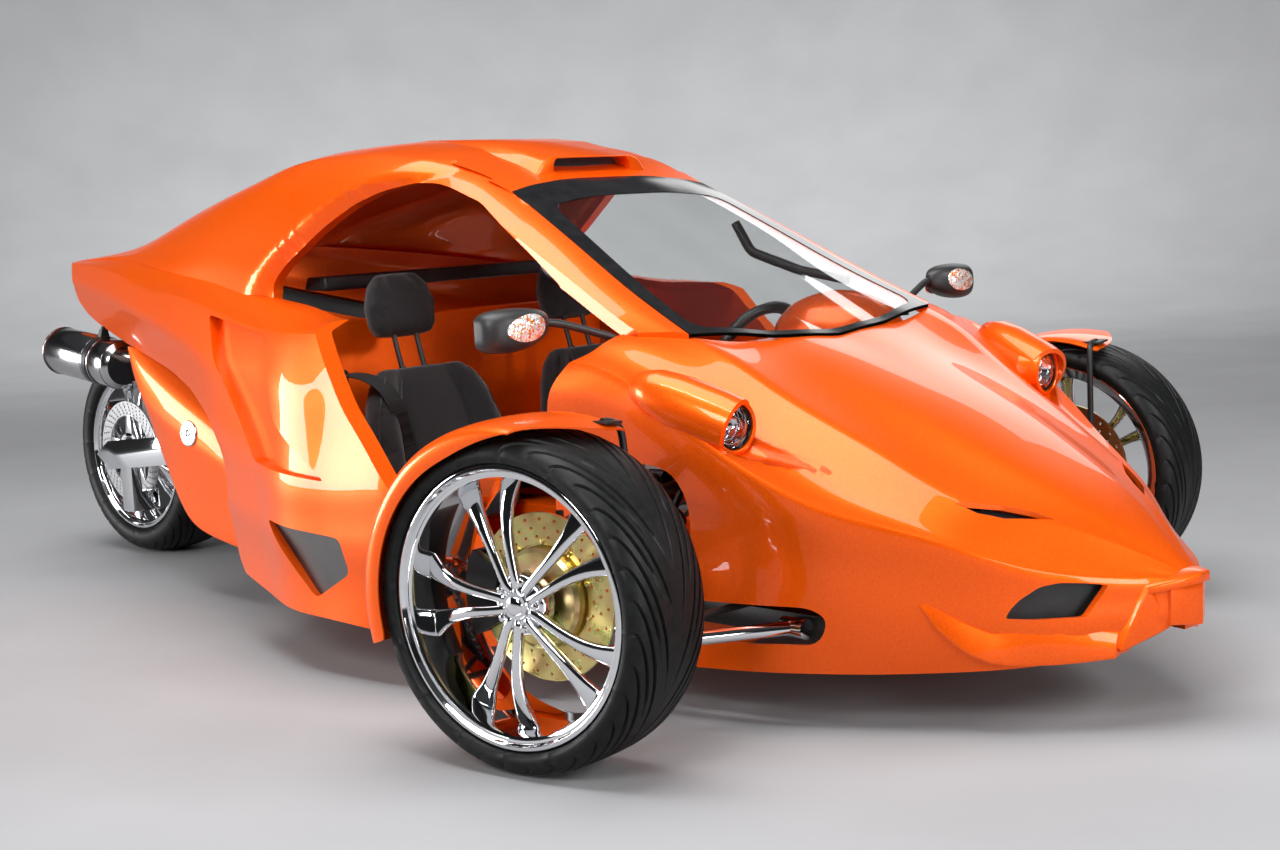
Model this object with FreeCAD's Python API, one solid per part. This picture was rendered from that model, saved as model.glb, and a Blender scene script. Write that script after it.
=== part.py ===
import FreeCAD, Part
import math
import os

# Three-wheeled open coupe with two steered front wheels and one driven rear wheel.
# Millimetres, +X forward, +Y to the left, +Z up, floor at Z = 0, origin under the middle of its length.

V = FreeCAD.Vector
origin = V(0, 0, 0)
up = V(0, 0, 1)
left = V(0, 1, 0)
ahead = V(1, 0, 0)

# Driving dimensions of the whole vehicle
wheelbase = 2810.0
nose_overhang = 890.0
track = 1910.0
body_half_width = 800.0
roof_height = 1240.0
king_pin_spread = 1760.0
parked_steer_deg = 8.0

# Tyres and rims
front_tyre_radius = 326.0
front_tyre_width = 225.0
front_rim_radius = 272.0
front_rim_width = 206.0
rear_tyre_radius = 330.0
rear_tyre_width = 240.0
rear_rim_radius = 248.0
rear_rim_width = 216.0
rim_wall = 7.0
hub_radius = 62.0
spindle_radius = 17.0
disc_radius = 165.0
disc_wall = 7.0

# Walls and clearances
cowl_wall = 10.0
roof_wall = 30.0
side_wall = 40.0
tub_wall = 22.0
glass_wall = 6.0
mesh_wall = 8.0
seam_gap = 0.5
fit_gap = 0.05
soft_gap = 0.3
moving_gap = 6.0
overrun = 400.0

# Tubes and rods
rail_tube = 24.0
frame_tube = 22.0
brace_tube = 18.0
arm_tube = 15.0
rod_radius = 8.0
weld_share = 1.04

length_over_all = nose_overhang + wheelbase + rear_tyre_radius
front_axle_x = length_over_all / 2 - nose_overhang
rear_axle_x = front_axle_x - wheelbase


def at(x_share, y_share, z_share):
    # A body point: X from the front axle in wheelbases, Y in half widths, Z in roof heights.
    return V(front_axle_x + x_share * wheelbase, y_share * body_half_width, z_share * roof_height)


def mirror_y(shape):
    return shape.mirror(origin, left)


def pair(shape):
    # The same piece on both sides of the vehicle, as solids that do not touch.
    return Part.makeCompound([shape, mirror_y(shape)])


def fuse(shapes):
    return shapes[0].multiFuse(shapes[1:]).removeSplitter()


def weld(shapes):
    # Fused one after the other, which keeps a frame of many tubes sound.
    whole = shapes[0]
    for shape in shapes[1:]:
        whole = whole.fuse(shape).removeSplitter()
    return whole


def save(name, shape):
    solids = shape.Solids
    shape = solids[0] if len(solids) == 1 else Part.makeCompound(solids)
    shape.exportStep("parts/" + name + ".step")
    print(name, len(solids), "solids", "valid" if shape.isValid() else "NOT VALID", round(shape.Volume / 1e3), "cm3")


def tube(start, end, radius):
    return Part.makeCylinder(radius, (end - start).Length, start, end - start)


def bar(points, radius):
    # A round bar through the points with a weld ball at each joint of two runs.
    runs = [tube(a, b, radius) for a, b in zip(points, points[1:])]
    balls = [Part.makeSphere(radius * weld_share, p) for p in points[1:-1]]
    return fuse(runs + balls) if len(runs) > 1 else runs[0]


def square_bar(points, half):
    # A square tube through the points, each run carried half a width past its corners.
    runs = []
    for start, end in zip(points, points[1:]):
        way = (end - start).normalize()
        across = left if abs(way.z) > 0.99 else way.cross(up).normalize()
        rise = across.cross(way).normalize()
        low = start - way * half
        corners = [low + across * (half * i) + rise * (half * j) for i, j in ((-1, -1), (1, -1), (1, 1), (-1, 1))]
        runs.append(prism(corners, end - low + way * half))
    return weld(runs)


def bent_tube(points, radius, bend):
    edges = []
    start = points[0]
    for before, corner, after in zip(points, points[1:], points[2:]):
        into = (corner - before).normalize()
        out = (after - corner).normalize()
        half_turn = into.getAngle(out) / 2
        reach = bend * math.tan(half_turn)
        a = corner - into * reach
        b = corner + out * reach
        middle_way = (out - into).normalize()
        middle = corner + middle_way * (bend / math.cos(half_turn) - bend)
        edges.append(Part.makeLine(start, a))
        edges.append(Part.Arc(a, middle, b).toShape())
        start = b
    edges.append(Part.makeLine(start, points[-1]))
    path = Part.Wire(edges)
    ring = Part.Wire(Part.makeCircle(radius, points[0], points[1] - points[0]))
    return path.makePipeShell([ring], True, False)


def prism(points, way):
    return Part.Face(Part.makePolygon(points + [points[0]])).extrude(way)


def side_prism(shares, y_low_share, y_high_share):
    # A prism across the vehicle from an outline in side view.
    points = [at(x, y_low_share, z) for x, z in shares]
    return prism(points, left * ((y_high_share - y_low_share) * body_half_width))


def plan_prism(shares, z_low_share, z_high_share):
    # An upright prism from an outline in plan.
    points = [at(x, y, z_low_share) for x, y in shares]
    return prism(points, up * ((z_high_share - z_low_share) * roof_height))


def front_prism(shares, x_low_share, x_high_share):
    points = [at(x_low_share, y, z) for y, z in shares]
    return prism(points, ahead * ((x_high_share - x_low_share) * wheelbase))


def both_sides(half):
    # Half a section, from the centre line outwards, made a whole one from right to left.
    right = [(-y, z) for y, z in reversed(half)]
    return right + list(half[1:])


def inner_row(row, wall):
    # The row of points moved inwards by the wall, with level ends.
    inner = []
    count = len(row)
    for i, p in enumerate(row):
        before = row[max(i - 1, 0)]
        after = row[min(i + 1, count - 1)]
        first = (p - before) if i > 0 else (after - p)
        second = (after - p) if i < count - 1 else (p - before)
        n1 = V(0, first.z, -first.y).normalize()
        n2 = V(0, second.z, -second.y).normalize()
        middle = (n1 + n2).normalize()
        reach = wall / max(middle.dot(n1), 0.6)
        q = p + middle * reach
        if i in (0, count - 1):
            way = second.normalize()
            if abs(way.z) > 0.2:
                q = q - way * ((q.z - p.z) / way.z)
        inner.append(q)
    return inner


def skin(stations, wall, whole=True):
    # A shell lofted along X through sections given as shares, wall thick inwards.
    wires = []
    for x, half in stations:
        row = [at(x, y, z) for y, z in (both_sides(half) if whole else half)]
        back = list(reversed(inner_row(row, wall)))
        wires.append(Part.makePolygon(row + back + [row[0]]))
    return Part.makeLoft(wires, True, True)


def body_block(stations, floor_share, whole=True):
    # The same sections filled down to a level floor, for trimming what lies inside.
    wires = []
    for x, half in stations:
        points = both_sides(half) if whole else list(half)
        ends = [(points[-1][0], floor_share), (points[0][0], floor_share)]
        row = [at(x, y, z) for y, z in points + ends]
        wires.append(Part.makePolygon(row + [row[0]]))
    return Part.makeLoft(wires, True, True)


# Front body: centre, bulge edge, ridge, valley, shoulder, under the shoulder, side, lower edge
front_station_shares = (
    (0.304, ((0, 0.236), (0.012, 0.2355), (0.024, 0.234), (0.036, 0.231), (0.048, 0.226),
             (0.055, 0.210), (0.058, 0.192), (0.055, 0.178))),
    (0.285, ((0, 0.279), (0.035, 0.277), (0.075, 0.270), (0.108, 0.257), (0.150, 0.243),
             (0.157, 0.226), (0.157, 0.188), (0.145, 0.158))),
    (0.242, ((0, 0.348), (0.110, 0.342), (0.206, 0.323), (0.256, 0.298), (0.306, 0.278),
             (0.314, 0.250), (0.325, 0.185), (0.294, 0.113))),
    (0.189, ((0, 0.416), (0.160, 0.408), (0.375, 0.367), (0.431, 0.343), (0.494, 0.327),
             (0.487, 0.282), (0.481, 0.194), (0.425, 0.101))),
    (0.125, ((0, 0.492), (0.200, 0.481), (0.437, 0.448), (0.537, 0.403), (0.662, 0.403),
             (0.656, 0.347), (0.625, 0.226), (0.569, 0.097))),
    (0.060, ((0, 0.552), (0.212, 0.545), (0.481, 0.528), (0.600, 0.484), (0.769, 0.484),
             (0.750, 0.403), (0.681, 0.242), (0.681, 0.097))),
    (0.000, ((0, 0.601), (0.212, 0.604), (0.512, 0.609), (0.640, 0.580), (0.806, 0.556),
             (0.787, 0.468), (0.700, 0.266), (0.731, 0.097))),
    (-0.055, ((0, 0.640), (0.212, 0.645), (0.525, 0.645), (0.680, 0.632), (0.806, 0.600),
              (0.819, 0.532), (0.735, 0.300), (0.750, 0.097))),
    (-0.107, ((0, 0.645), (0.212, 0.650), (0.525, 0.650), (0.690, 0.637), (0.812, 0.600),
              (0.831, 0.532), (0.760, 0.320), (0.770, 0.097))),
)

# Rear edge of the front body in plan, from the windscreen's middle out to the pillar's foot
cowl_line_shares = ((0.0, 0), (-0.007, 0.25), (-0.022, 0.531), (-0.050, 0.631))

# Roof: centre, half way, rail or glass edge, outside the rail, half way down, belt
roof_station_shares = (
    (0.010, ((0, 0.594), (0.250, 0.597), (0.540, 0.602), (0.590, 0.597), (0.690, 0.590), (0.780, 0.585))),
    (-0.089, ((0, 0.707), (0.250, 0.708), (0.500, 0.702), (0.590, 0.684), (0.690, 0.645), (0.830, 0.597))),
    (-0.178, ((0, 0.814), (0.250, 0.815), (0.452, 0.808), (0.550, 0.780), (0.690, 0.710), (0.880, 0.613))),
    (-0.249, ((0, 0.900), (0.250, 0.898), (0.415, 0.888), (0.525, 0.857), (0.680, 0.766), (0.900, 0.645))),
    (-0.302, ((0, 0.942), (0.250, 0.944), (0.444, 0.935), (0.538, 0.900), (0.690, 0.795), (0.919, 0.665))),
    (-0.356, ((0, 0.979), (0.250, 0.981), (0.462, 0.962), (0.562, 0.918), (0.700, 0.810), (0.919, 0.672))),
    (-0.427, ((0, 0.998), (0.250, 0.997), (0.472, 0.974), (0.575, 0.919), (0.712, 0.810), (0.887, 0.685))),
    (-0.498, ((0, 0.995), (0.250, 0.993), (0.472, 0.970), (0.575, 0.910), (0.706, 0.800), (0.831, 0.702))),
    (-0.605, ((0, 0.950), (0.250, 0.945), (0.450, 0.926), (0.550, 0.878), (0.650, 0.800), (0.731, 0.723))),
    (-0.712, ((0, 0.892), (0.250, 0.887), (0.412, 0.873), (0.500, 0.832), (0.575, 0.783), (0.631, 0.742))),
    (-0.854, ((0, 0.808), (0.230, 0.806), (0.350, 0.797), (0.412, 0.781), (0.450, 0.768), (0.487, 0.754))),
    (-1.007, ((0, 0.767), (0.150, 0.767), (0.240, 0.766), (0.290, 0.765), (0.315, 0.764), (0.335, 0.763))),
)

# The open side in plan: pillar foot, along the pillar and rail, down the rear pillar to the belt
side_opening_shares = ((-0.010, 0.640), (-0.047, 0.625), (-0.142, 0.575), (-0.214, 0.540), (-0.285, 0.538),
                       (-0.340, 0.562), (-0.409, 0.625), (-0.445, 0.700), (-0.434, 0.775), (-0.391, 0.875),
                       (-0.352, 0.940), (-0.352, 1.2), (-0.010, 1.2))

# Windscreen in plan: lower middle, lower corner, upper corner
screen_shares = ((0.0, 0), (-0.007, 0.25), (-0.022, 0.531), (-0.247, 0.414), (-0.254, 0.2), (-0.256, 0))

# Side panel: lower edge, low, middle, upper, belt
side_station_shares = (
    (-0.089, ((-0.790, 0.097), (-0.800, 0.242), (-0.800, 0.363), (-0.790, 0.524), (-0.775, 0.645))),
    (-0.160, ((-0.862, 0.097), (-0.875, 0.242), (-0.887, 0.363), (-0.875, 0.524), (-0.850, 0.645))),
    (-0.231, ((-0.950, 0.105), (-0.987, 0.258), (-0.987, 0.379), (-0.950, 0.524), (-0.900, 0.645))),
    (-0.302, ((-0.987, 0.117), (-1.000, 0.258), (-1.000, 0.363), (-0.969, 0.524), (-0.919, 0.664))),
    (-0.356, ((-0.981, 0.121), (-1.000, 0.258), (-1.000, 0.363), (-0.969, 0.532), (-0.919, 0.671))),
    (-0.427, ((-0.925, 0.137), (-0.944, 0.274), (-0.950, 0.403), (-0.931, 0.565), (-0.887, 0.684))),
    (-0.516, ((-0.825, 0.161), (-0.850, 0.298), (-0.862, 0.427), (-0.862, 0.589), (-0.819, 0.705))),
    (-0.605, ((-0.700, 0.202), (-0.725, 0.363), (-0.750, 0.484), (-0.775, 0.637), (-0.731, 0.722))),
    (-0.712, ((-0.562, 0.242), (-0.600, 0.444), (-0.625, 0.565), (-0.662, 0.669), (-0.631, 0.741))),
    (-0.854, ((-0.412, 0.323), (-0.450, 0.484), (-0.475, 0.629), (-0.512, 0.702), (-0.487, 0.753))),
    (-1.007, ((-0.280, 0.403), (-0.300, 0.565), (-0.315, 0.689), (-0.344, 0.726), (-0.335, 0.762))),
)

# The side panel's outline in side view
side_outline_shares = ((-0.352, 0.800), (-0.340, 0.669), (-0.285, 0.500), (-0.231, 0.375), (-0.178, 0.290),
                       (-0.112, 0.266), (-0.110, 0.040), (-0.519, 0.040), (-0.534, 0.181), (-0.523, 0.409),
                       (-0.521, 0.450), (-0.533, 0.521), (-0.569, 0.565), (-0.602, 0.589), (-0.740, 0.637),
                       (-1.004, 0.693), (-1.004, 0.900), (-0.500, 0.900))

# The panel pressed inwards behind the raised front band, in side view
side_recess_shares = ((-0.507, 0.683), (-0.390, 0.642), (-0.379, 0.475), (-0.308, 0.376), (-0.420, 0.395), (-0.500, 0.560))
side_recess_depth = 15.0
side_vent_shares = ((-0.395, 0.290), (-0.292, 0.274), (-0.285, 0.210), (-0.331, 0.153))
arm_hole_shares = ((-0.080, 0.440), (0.014, 0.430), (0.024, 0.380), (0.012, 0.246), (-0.080, 0.221))
lower_slot_shares = ((-0.090, 0.205), (0.110, 0.210), (0.122, 0.190), (0.112, 0.146), (-0.090, 0.138))
grille_hole_shares = ((0.175, 0.226), (0.345, 0.226), (0.365, 0.184), (0.225, 0.184))
hood_slot_shares = ((0.188, 0.395), (0.200, 0.330), (0.233, 0.212), (0.212, 0.315))
door_edge_shares = ((-0.055, 0.700), (-0.066, 0.610), (-0.085, 0.565), (-0.096, 0.510), (-0.104, 0.400),
                    (-0.109, 0.200), (-0.109, 0.050), (-0.200, 0.050), (-0.200, 0.700))


def mirrored_outline(half):
    return [(x, -y) for x, y in reversed(half)] + [(x, y) for x, y in half[1:]]


def cowl_cut(offset_share):
    # All that lies behind the rear edge of the front body's top, in plan.
    line = [(x - offset_share, y) for x, y in cowl_line_shares]
    back_share = -0.200
    line = line + [(back_share, cowl_line_shares[-1][1])]
    return plan_prism(mirrored_outline(line), 0.250, 1.100)


headlamp_shares = (0.060, -0.700, 0.508)
headlamp_radius = 62.0
headlamp_depth = 70.0
pod_wall = 12.0


def headlamp_axis():
    return V(math.cos(math.radians(16)), -math.sin(math.radians(16)), -0.06).normalize()


def headlamp_pod():
    mouth = at(*headlamp_shares) + headlamp_axis() * headlamp_depth / 2
    radius = headlamp_radius + pod_wall
    rings = []
    for back_share, radius_share in ((0, 1.0), (0.7, 1.08), (1.7, 1.0), (2.8, 0.72), (3.8, 0.25)):
        centre = mouth - headlamp_axis() * (headlamp_depth * back_share)
        rings.append(Part.Wire(Part.makeCircle(radius * radius_share, centre, headlamp_axis())))
    return Part.makeLoft(rings, True, False)


def headlamp_bore():
    mouth = at(*headlamp_shares) + headlamp_axis() * headlamp_depth
    return Part.makeCylinder(headlamp_radius, headlamp_depth * 1.5, mouth, headlamp_axis() * -1)


def front_body():
    shell = skin(front_station_shares, cowl_wall)
    pods = pair(headlamp_pod())
    shell = shell.fuse(pods.Solids)
    shell = shell.cut(pair(headlamp_bore()))
    shell = shell.cut(cowl_cut(0))
    shell = shell.cut(side_prism(door_edge_shares, -1.2, 1.2))
    shell = shell.cut(side_prism(arm_hole_shares, -1.2, 1.2))
    shell = shell.cut(side_prism(lower_slot_shares, -1.2, 1.2))
    shell = shell.cut(pair(front_prism(grille_hole_shares, 0.190, 0.330)))
    shell = shell.cut(pair(plan_prism(hood_slot_shares, 0.250, 0.600)))
    return shell


def headlamp_bowls():
    mouth = at(*headlamp_shares) + headlamp_axis() * (headlamp_depth / 2)
    back = mouth - headlamp_axis() * headlamp_depth * 0.85
    outer = Part.makeCylinder(headlamp_radius - soft_gap, headlamp_depth * 0.7, back, headlamp_axis())
    hollow = Part.makeCone(headlamp_radius * 0.35, headlamp_radius * 0.9, headlamp_depth * 0.62,
                           back + headlamp_axis() * (headlamp_depth * 0.1), headlamp_axis())
    return pair(outer.cut(hollow))


def headlamp_lenses():
    mouth = at(*headlamp_shares) + headlamp_axis() * (headlamp_depth / 2)
    foot = mouth - headlamp_axis() * headlamp_depth * 0.15
    rim = Part.makeCylinder(headlamp_radius - soft_gap, headlamp_depth * 0.1, foot, headlamp_axis())
    ball_radius = headlamp_radius * 1.6
    sink = math.sqrt(ball_radius ** 2 - (headlamp_radius - soft_gap) ** 2)
    centre = foot + headlamp_axis() * (headlamp_depth * 0.1 - sink)
    cap = Part.makeSphere(ball_radius, centre)
    keep = Part.makeCylinder(headlamp_radius - soft_gap, headlamp_depth, foot + headlamp_axis() * headlamp_depth * 0.1,
                             headlamp_axis())
    return pair(rim.fuse(cap.common(keep)).removeSplitter())


# The beak below the nose and the lip under it
beak_shares = (
    (0.235, 0.300, 0.160, 0.225),
    (0.296, 0.135, 0.158, 0.233),
    (nose_overhang / wheelbase, 0.040, 0.165, 0.252),
)
lip_line_shares = ((0.125, 0.590), (0.170, 0.500), (0.215, 0.370), (0.255, 0.240), (0.290, 0.110), (0.294, 0))
lip_depth = 60.0
lip_low_share = 0.092
lip_high_share = 0.125


def front_lip():
    wires = []
    for x, half, low, high in beak_shares:
        wires.append(Part.makePolygon([at(x, -half, low), at(x, half, low), at(x, half, high), at(x, -half, high),
                                       at(x, -half, low)]))
    below = plan_prism(((0.150, -0.600), (0.400, -0.600), (0.400, 0.600), (0.150, 0.600)), 0, beak_shares[1][2])
    beak = Part.makeLoft(wires, True, True).cut(body_block(front_station_shares, 0.050).cut(below))
    outer = mirrored_outline(tuple(reversed(lip_line_shares)))
    depth_share = lip_depth / wheelbase
    side_share = lip_depth / body_half_width
    inner = [(x - depth_share, y * (1 - side_share * 2.2)) for x, y in outer]
    ring = plan_prism(outer + list(reversed(inner)), lip_low_share, lip_high_share)
    jaw_line = ((0.302, 0.060), (0.302, -0.060), (0.285, -0.130), (0.262, -0.170), (0.262, 0.170), (0.285, 0.130))
    jaw = plan_prism(jaw_line, lip_low_share + 0.005, 0.170)
    chin = fuse([jaw, ring]).cut(skin(front_station_shares, cowl_wall))
    return fuse([beak, chin])


def windscreen():
    screen_stations = [(x, half[:4]) for x, half in roof_station_shares[:5]]
    glass = skin(screen_stations, glass_wall)
    edge = plan_prism(mirrored_outline(screen_shares[:3]) +
                      list(reversed(mirrored_outline(tuple(reversed(screen_shares[3:]))))), 0.5, 1.1)
    return glass.common(edge)


def roof_shell():
    shell = skin(roof_station_shares, roof_wall)
    front = [(x - seam_gap / wheelbase, y) for x, y in cowl_line_shares]
    front = [(0.060, 0), (0.060, 1.2), (front[-1][0], 1.2)] + list(reversed(front))
    for half in (front, [(x, -y) for x, y in front]):
        shell = shell.cut(plan_prism(half, 0.3, 1.2))
    shell = shell.cut(pair(plan_prism([(x, -y) for x, y in side_opening_shares], 0.3, 1.2)))
    hole = mirrored_outline(screen_shares[:3]) + list(reversed(mirrored_outline(tuple(reversed(screen_shares[3:])))))
    grow = 1 + seam_gap / body_half_width
    scoop, mouth = roof_scoop()
    shell = shell.fuse(scoop).cut(plan_prism([(x, y * grow) for x, y in hole], 0.5, 1.1))
    return shell.cut(mouth)


# Raised intake on the roof: half width at its foot and its top, height of foot and top
scoop_shares = (
    (-0.270, 0.200, 0.175, 0.905, 0.955),
    (-0.302, 0.225, 0.190, 0.930, 0.975),
    (-0.356, 0.240, 0.200, 0.958, 0.992),
    (-0.427, 0.250, 0.205, 0.975, 1.000),
    (-0.520, 0.250, 0.200, 0.955, 0.984),
)


def roof_scoop():
    wires = []
    for x, foot, top, low, high in scoop_shares:
        row = [at(x, -foot, low), at(x, -top, high), at(x, top, high), at(x, foot, low)]
        wires.append(Part.makePolygon(row + [row[0]]))
    whole = Part.makeLoft(wires, True, True)
    mouth = front_prism(((-0.165, 0.918), (0.165, 0.918), (0.155, 0.948), (-0.155, 0.948)), -0.292, -0.250)
    return whole, mouth


def side_panel():
    shell = skin(side_station_shares, side_wall, False)
    shell = shell.common(side_prism(side_outline_shares, -1.2, 0))
    shell = shell.cut(side_prism(side_vent_shares, -1.2, -0.5))
    pressed = skin(side_station_shares, side_recess_depth, False).common(side_prism(side_recess_shares, -1.2, 0))
    return shell.cut(pressed).cut(skin(roof_station_shares, roof_wall))


plate_hole_spacing = 146.0
plate_hole_radius = 3.3
tail_lamp_z_share = 0.716


def tail_fascia():
    x, roof_line = roof_station_shares[-1]
    top = roof_line[1][1] - (roof_wall + soft_gap) / roof_height
    plate = front_prism(((-0.225, 0.692), (0.225, 0.692), (0.225, top - 0.0008), (0.150, top),
                         (-0.150, top), (-0.225, top - 0.0008)), x, x + 0.010)
    holes = []
    for side in (-plate_hole_spacing / 2, plate_hole_spacing / 2):
        middle = at(x, 0, tail_lamp_z_share) + left * side
        holes.append(tube(middle - ahead * tub_wall, middle + ahead * tub_wall * 2, plate_hole_radius))
    return plate.cut(holes)


tail_lamp_radius = 24.0
tail_lamp_wall = 10.0


def tail_lamps():
    lamp = Part.makeCylinder(tail_lamp_radius, tail_lamp_wall, at(-1.007, -0.150, tail_lamp_z_share) - ahead * soft_gap, ahead * -1)
    return pair(lamp)


# Cockpit: a tray with a floor, sills and bulkhead, widening from the foot wells to the seats
floor_low_share = 0.100
tray_shares = ((0.010, 0.485), (-0.075, 0.485), (-0.150, 0.695), (-0.485, 0.695))
sill_outer_shares = ((-0.112, 0.735), (-0.160, 0.800), (-0.231, 0.900), (-0.302, 0.930), (-0.400, 0.905),
                     (-0.485, 0.790))
sill_high_share = 0.266
firewall_high_share = 0.500


def cockpit_tub():
    thick_x = tub_wall / wheelbase
    thick_y = tub_wall / body_half_width
    thick_z = tub_wall / roof_height
    rear = tray_shares[-1][0]
    outer = [(x, -y) for x, y in tray_shares] + [(x, y) for x, y in reversed(tray_shares)]
    inner = [(x - thick_x if x > 0 else x, y - math.copysign(thick_y, y)) for x, y in outer]
    inner = [(x + thick_x if x == rear else x, y) for x, y in inner]
    tray = plan_prism(outer, floor_low_share, sill_high_share)
    tray = tray.cut(plan_prism(inner, floor_low_share + thick_z, sill_high_share + thick_z))
    bulkhead = side_prism(((rear, floor_low_share), (rear + thick_x, floor_low_share),
                           (rear + thick_x * 2, 0.640), (rear + thick_x, 0.640)), -0.695, 0.695)
    front, front_half = tray_shares[0]
    firewall = side_prism(((front - thick_x, floor_low_share), (front, floor_low_share),
                           (front, firewall_high_share), (front - thick_x, firewall_high_share)), -front_half, front_half)
    tunnel = side_prism(((rear, floor_low_share), (0.005, floor_low_share), (0.005, 0.240), (rear, 0.240)),
                        -0.075, 0.075)
    sill = [(x, -y) for x, y in sill_outer_shares] + [(rear, -0.680), (-0.150, -0.680), (-0.112, -0.582)]
    cover = plan_prism(sill, sill_high_share - thick_z, sill_high_share)
    return fuse([tray, bulkhead, firewall, tunnel, cover, mirror_y(cover)])


wheel_hub_shares = (-0.185, 0.375, 0.508)
steering_wheel_radius = 165.0
grip_radius = 14.0
column_radius = 16.0
column_tilt_deg = 24.0


def column_axis():
    # From the dash up and back to the driver.
    angle = math.radians(column_tilt_deg)
    return V(-math.cos(angle), 0, math.sin(angle))


def dashboard():
    row = ((-0.020, 0.480), (-0.020, 0.560), (-0.050, 0.590), (-0.110, 0.585), (-0.135, 0.560), (-0.130, 0.490),
           (-0.110, 0.460))
    beam = side_prism(row, -0.600, 0.600)
    dome = Part.makeSphere(1.0)
    matrix = FreeCAD.Matrix()
    matrix.scale(0.058 * wheelbase, 0.200 * body_half_width, 0.090 * roof_height)
    dome = dome.transformGeometry(matrix)
    dome.translate(at(-0.085, wheel_hub_shares[1], 0.575))
    foot = side_prism(((0.0021, 0.480), (0.0021, 0.499), (-0.030, 0.540), (-0.030, 0.480)), -0.450, 0.450)
    whole = fuse([beam, dome, foot])
    clear = tube(at(*wheel_hub_shares) - column_axis() * overrun * 2, at(*wheel_hub_shares) + column_axis() * overrun,
                 column_radius + moving_gap)
    return whole.cut(clear)


def steering_column():
    hub = at(*wheel_hub_shares)
    tilt = math.radians(column_tilt_deg)
    firewall_x = at(tray_shares[0][0], 0, 0).x - tub_wall
    reach = (firewall_x - soft_gap - column_radius * math.sin(tilt) - hub.x) / math.cos(tilt)
    start = hub - column_axis() * (steering_wheel_radius * 0.35)
    end = hub - column_axis() * reach
    spigot = tube(start, hub - column_axis() * (steering_wheel_radius * 0.15), rod_radius)
    return fuse([tube(end, start, column_radius), spigot])


def steering_wheel():
    hub = at(*wheel_hub_shares)
    rim = Part.makeTorus(steering_wheel_radius, grip_radius, hub, column_axis())
    boss = Part.makeCylinder(steering_wheel_radius * 0.22, steering_wheel_radius * 0.3,
                             hub - column_axis() * (steering_wheel_radius * 0.33), column_axis())
    arms = []
    for turn in (0, 120, 240):
        angle = math.radians(turn + 90)
        side = left
        rise = column_axis().cross(left)
        way = side * math.cos(angle) + rise * math.sin(angle)
        arms.append(tube(hub + way * (steering_wheel_radius * 0.1), hub + way * steering_wheel_radius,
                         grip_radius * 0.7))
    bore = tube(hub - column_axis() * steering_wheel_radius, hub - column_axis() * (steering_wheel_radius * 0.15),
                rod_radius + fit_gap)
    return fuse([rim, boss] + arms).cut(bore)


# Seats: one on each side of the tunnel
seat_y_share = -0.3691
seat_width = 470.0
cushion_height = 120.0
back_wall = 105.0
headrest_width = 250.0
headrest_wall = 80.0


def rounded_block(points, width, y, radius):
    block = prism([V(p.x, y - width / 2, p.z) for p in points], left * width)
    return block.makeFillet(radius, block.Edges)


def seat_cushions():
    low = floor_low_share + (tub_wall + soft_gap) / roof_height
    high = low + cushion_height / roof_height
    outline = [at(x, 0, z) for x, z in ((-0.337, low), (-0.160, low), (-0.155, high + 0.02), (-0.332, high))]
    return pair(rounded_block(outline, seat_width, seat_y_share * body_half_width, cushion_height * 0.2))


def seat_back_line():
    low = at(-0.334, 0, floor_low_share + (tub_wall + cushion_height) / roof_height + 0.012)
    high = at(-0.384, 0, 0.575)
    return low, high


def seat_backs():
    low, high = seat_back_line()
    way = (high - low).normalize()
    across = V(-way.z, 0, way.x)
    outline = [low, high, high + across * back_wall, low + across * back_wall]
    return pair(rounded_block(outline, seat_width, seat_y_share * body_half_width, back_wall * 0.3))


def headrests():
    low, high = seat_back_line()
    way = (high - low).normalize()
    across = V(-way.z, 0, way.x)
    foot = high + way * (back_wall * 0.35) + across * (back_wall * 0.12)
    top = foot + way * (headrest_width * 0.8)
    outline = [foot, top, top + across * headrest_wall, foot + across * headrest_wall]
    pad = rounded_block(outline, headrest_width, seat_y_share * body_half_width, headrest_wall * 0.3)
    posts = []
    for side_share in (-0.22, 0.22):
        y = seat_y_share * body_half_width + headrest_width * side_share
        base = high + across * (back_wall / 2) + way * soft_gap
        base = V(base.x, y, base.z)
        posts.append(tube(base, base + way * (back_wall * 0.5), rod_radius))
    return pair(fuse([pad] + posts))


belt_width = 46.0
belt_wall = 4.0


def seat_belts():
    low, high = seat_back_line()
    way = (high - low).normalize()
    across = V(-way.z, 0, way.x)
    y = (seat_y_share - 0.200) * body_half_width
    foot = low + way * (back_wall * 0.2) - across * (belt_wall + soft_gap)
    top = high - across * (belt_wall + soft_gap)
    outline = [V(p.x, y, p.z) for p in (foot, top, top + across * belt_wall, foot + across * belt_wall)]
    return pair(prism(outline, left * belt_width))


def grab_handles():
    points = [at(-0.214, -0.430, 0.800), at(-0.200, -0.445, 0.740), at(-0.150, -0.470, 0.700),
              at(-0.100, -0.491, 0.680)]
    return pair(bent_tube(points, rod_radius * 1.5, frame_tube * 2))


mirror_shares = (-0.087, -0.921, 0.664)
mirror_foot_shares = (-0.058, -0.720, 0.600)
mirror_width = 170.0
mirror_height = 105.0
mirror_depth = 85.0


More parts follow.
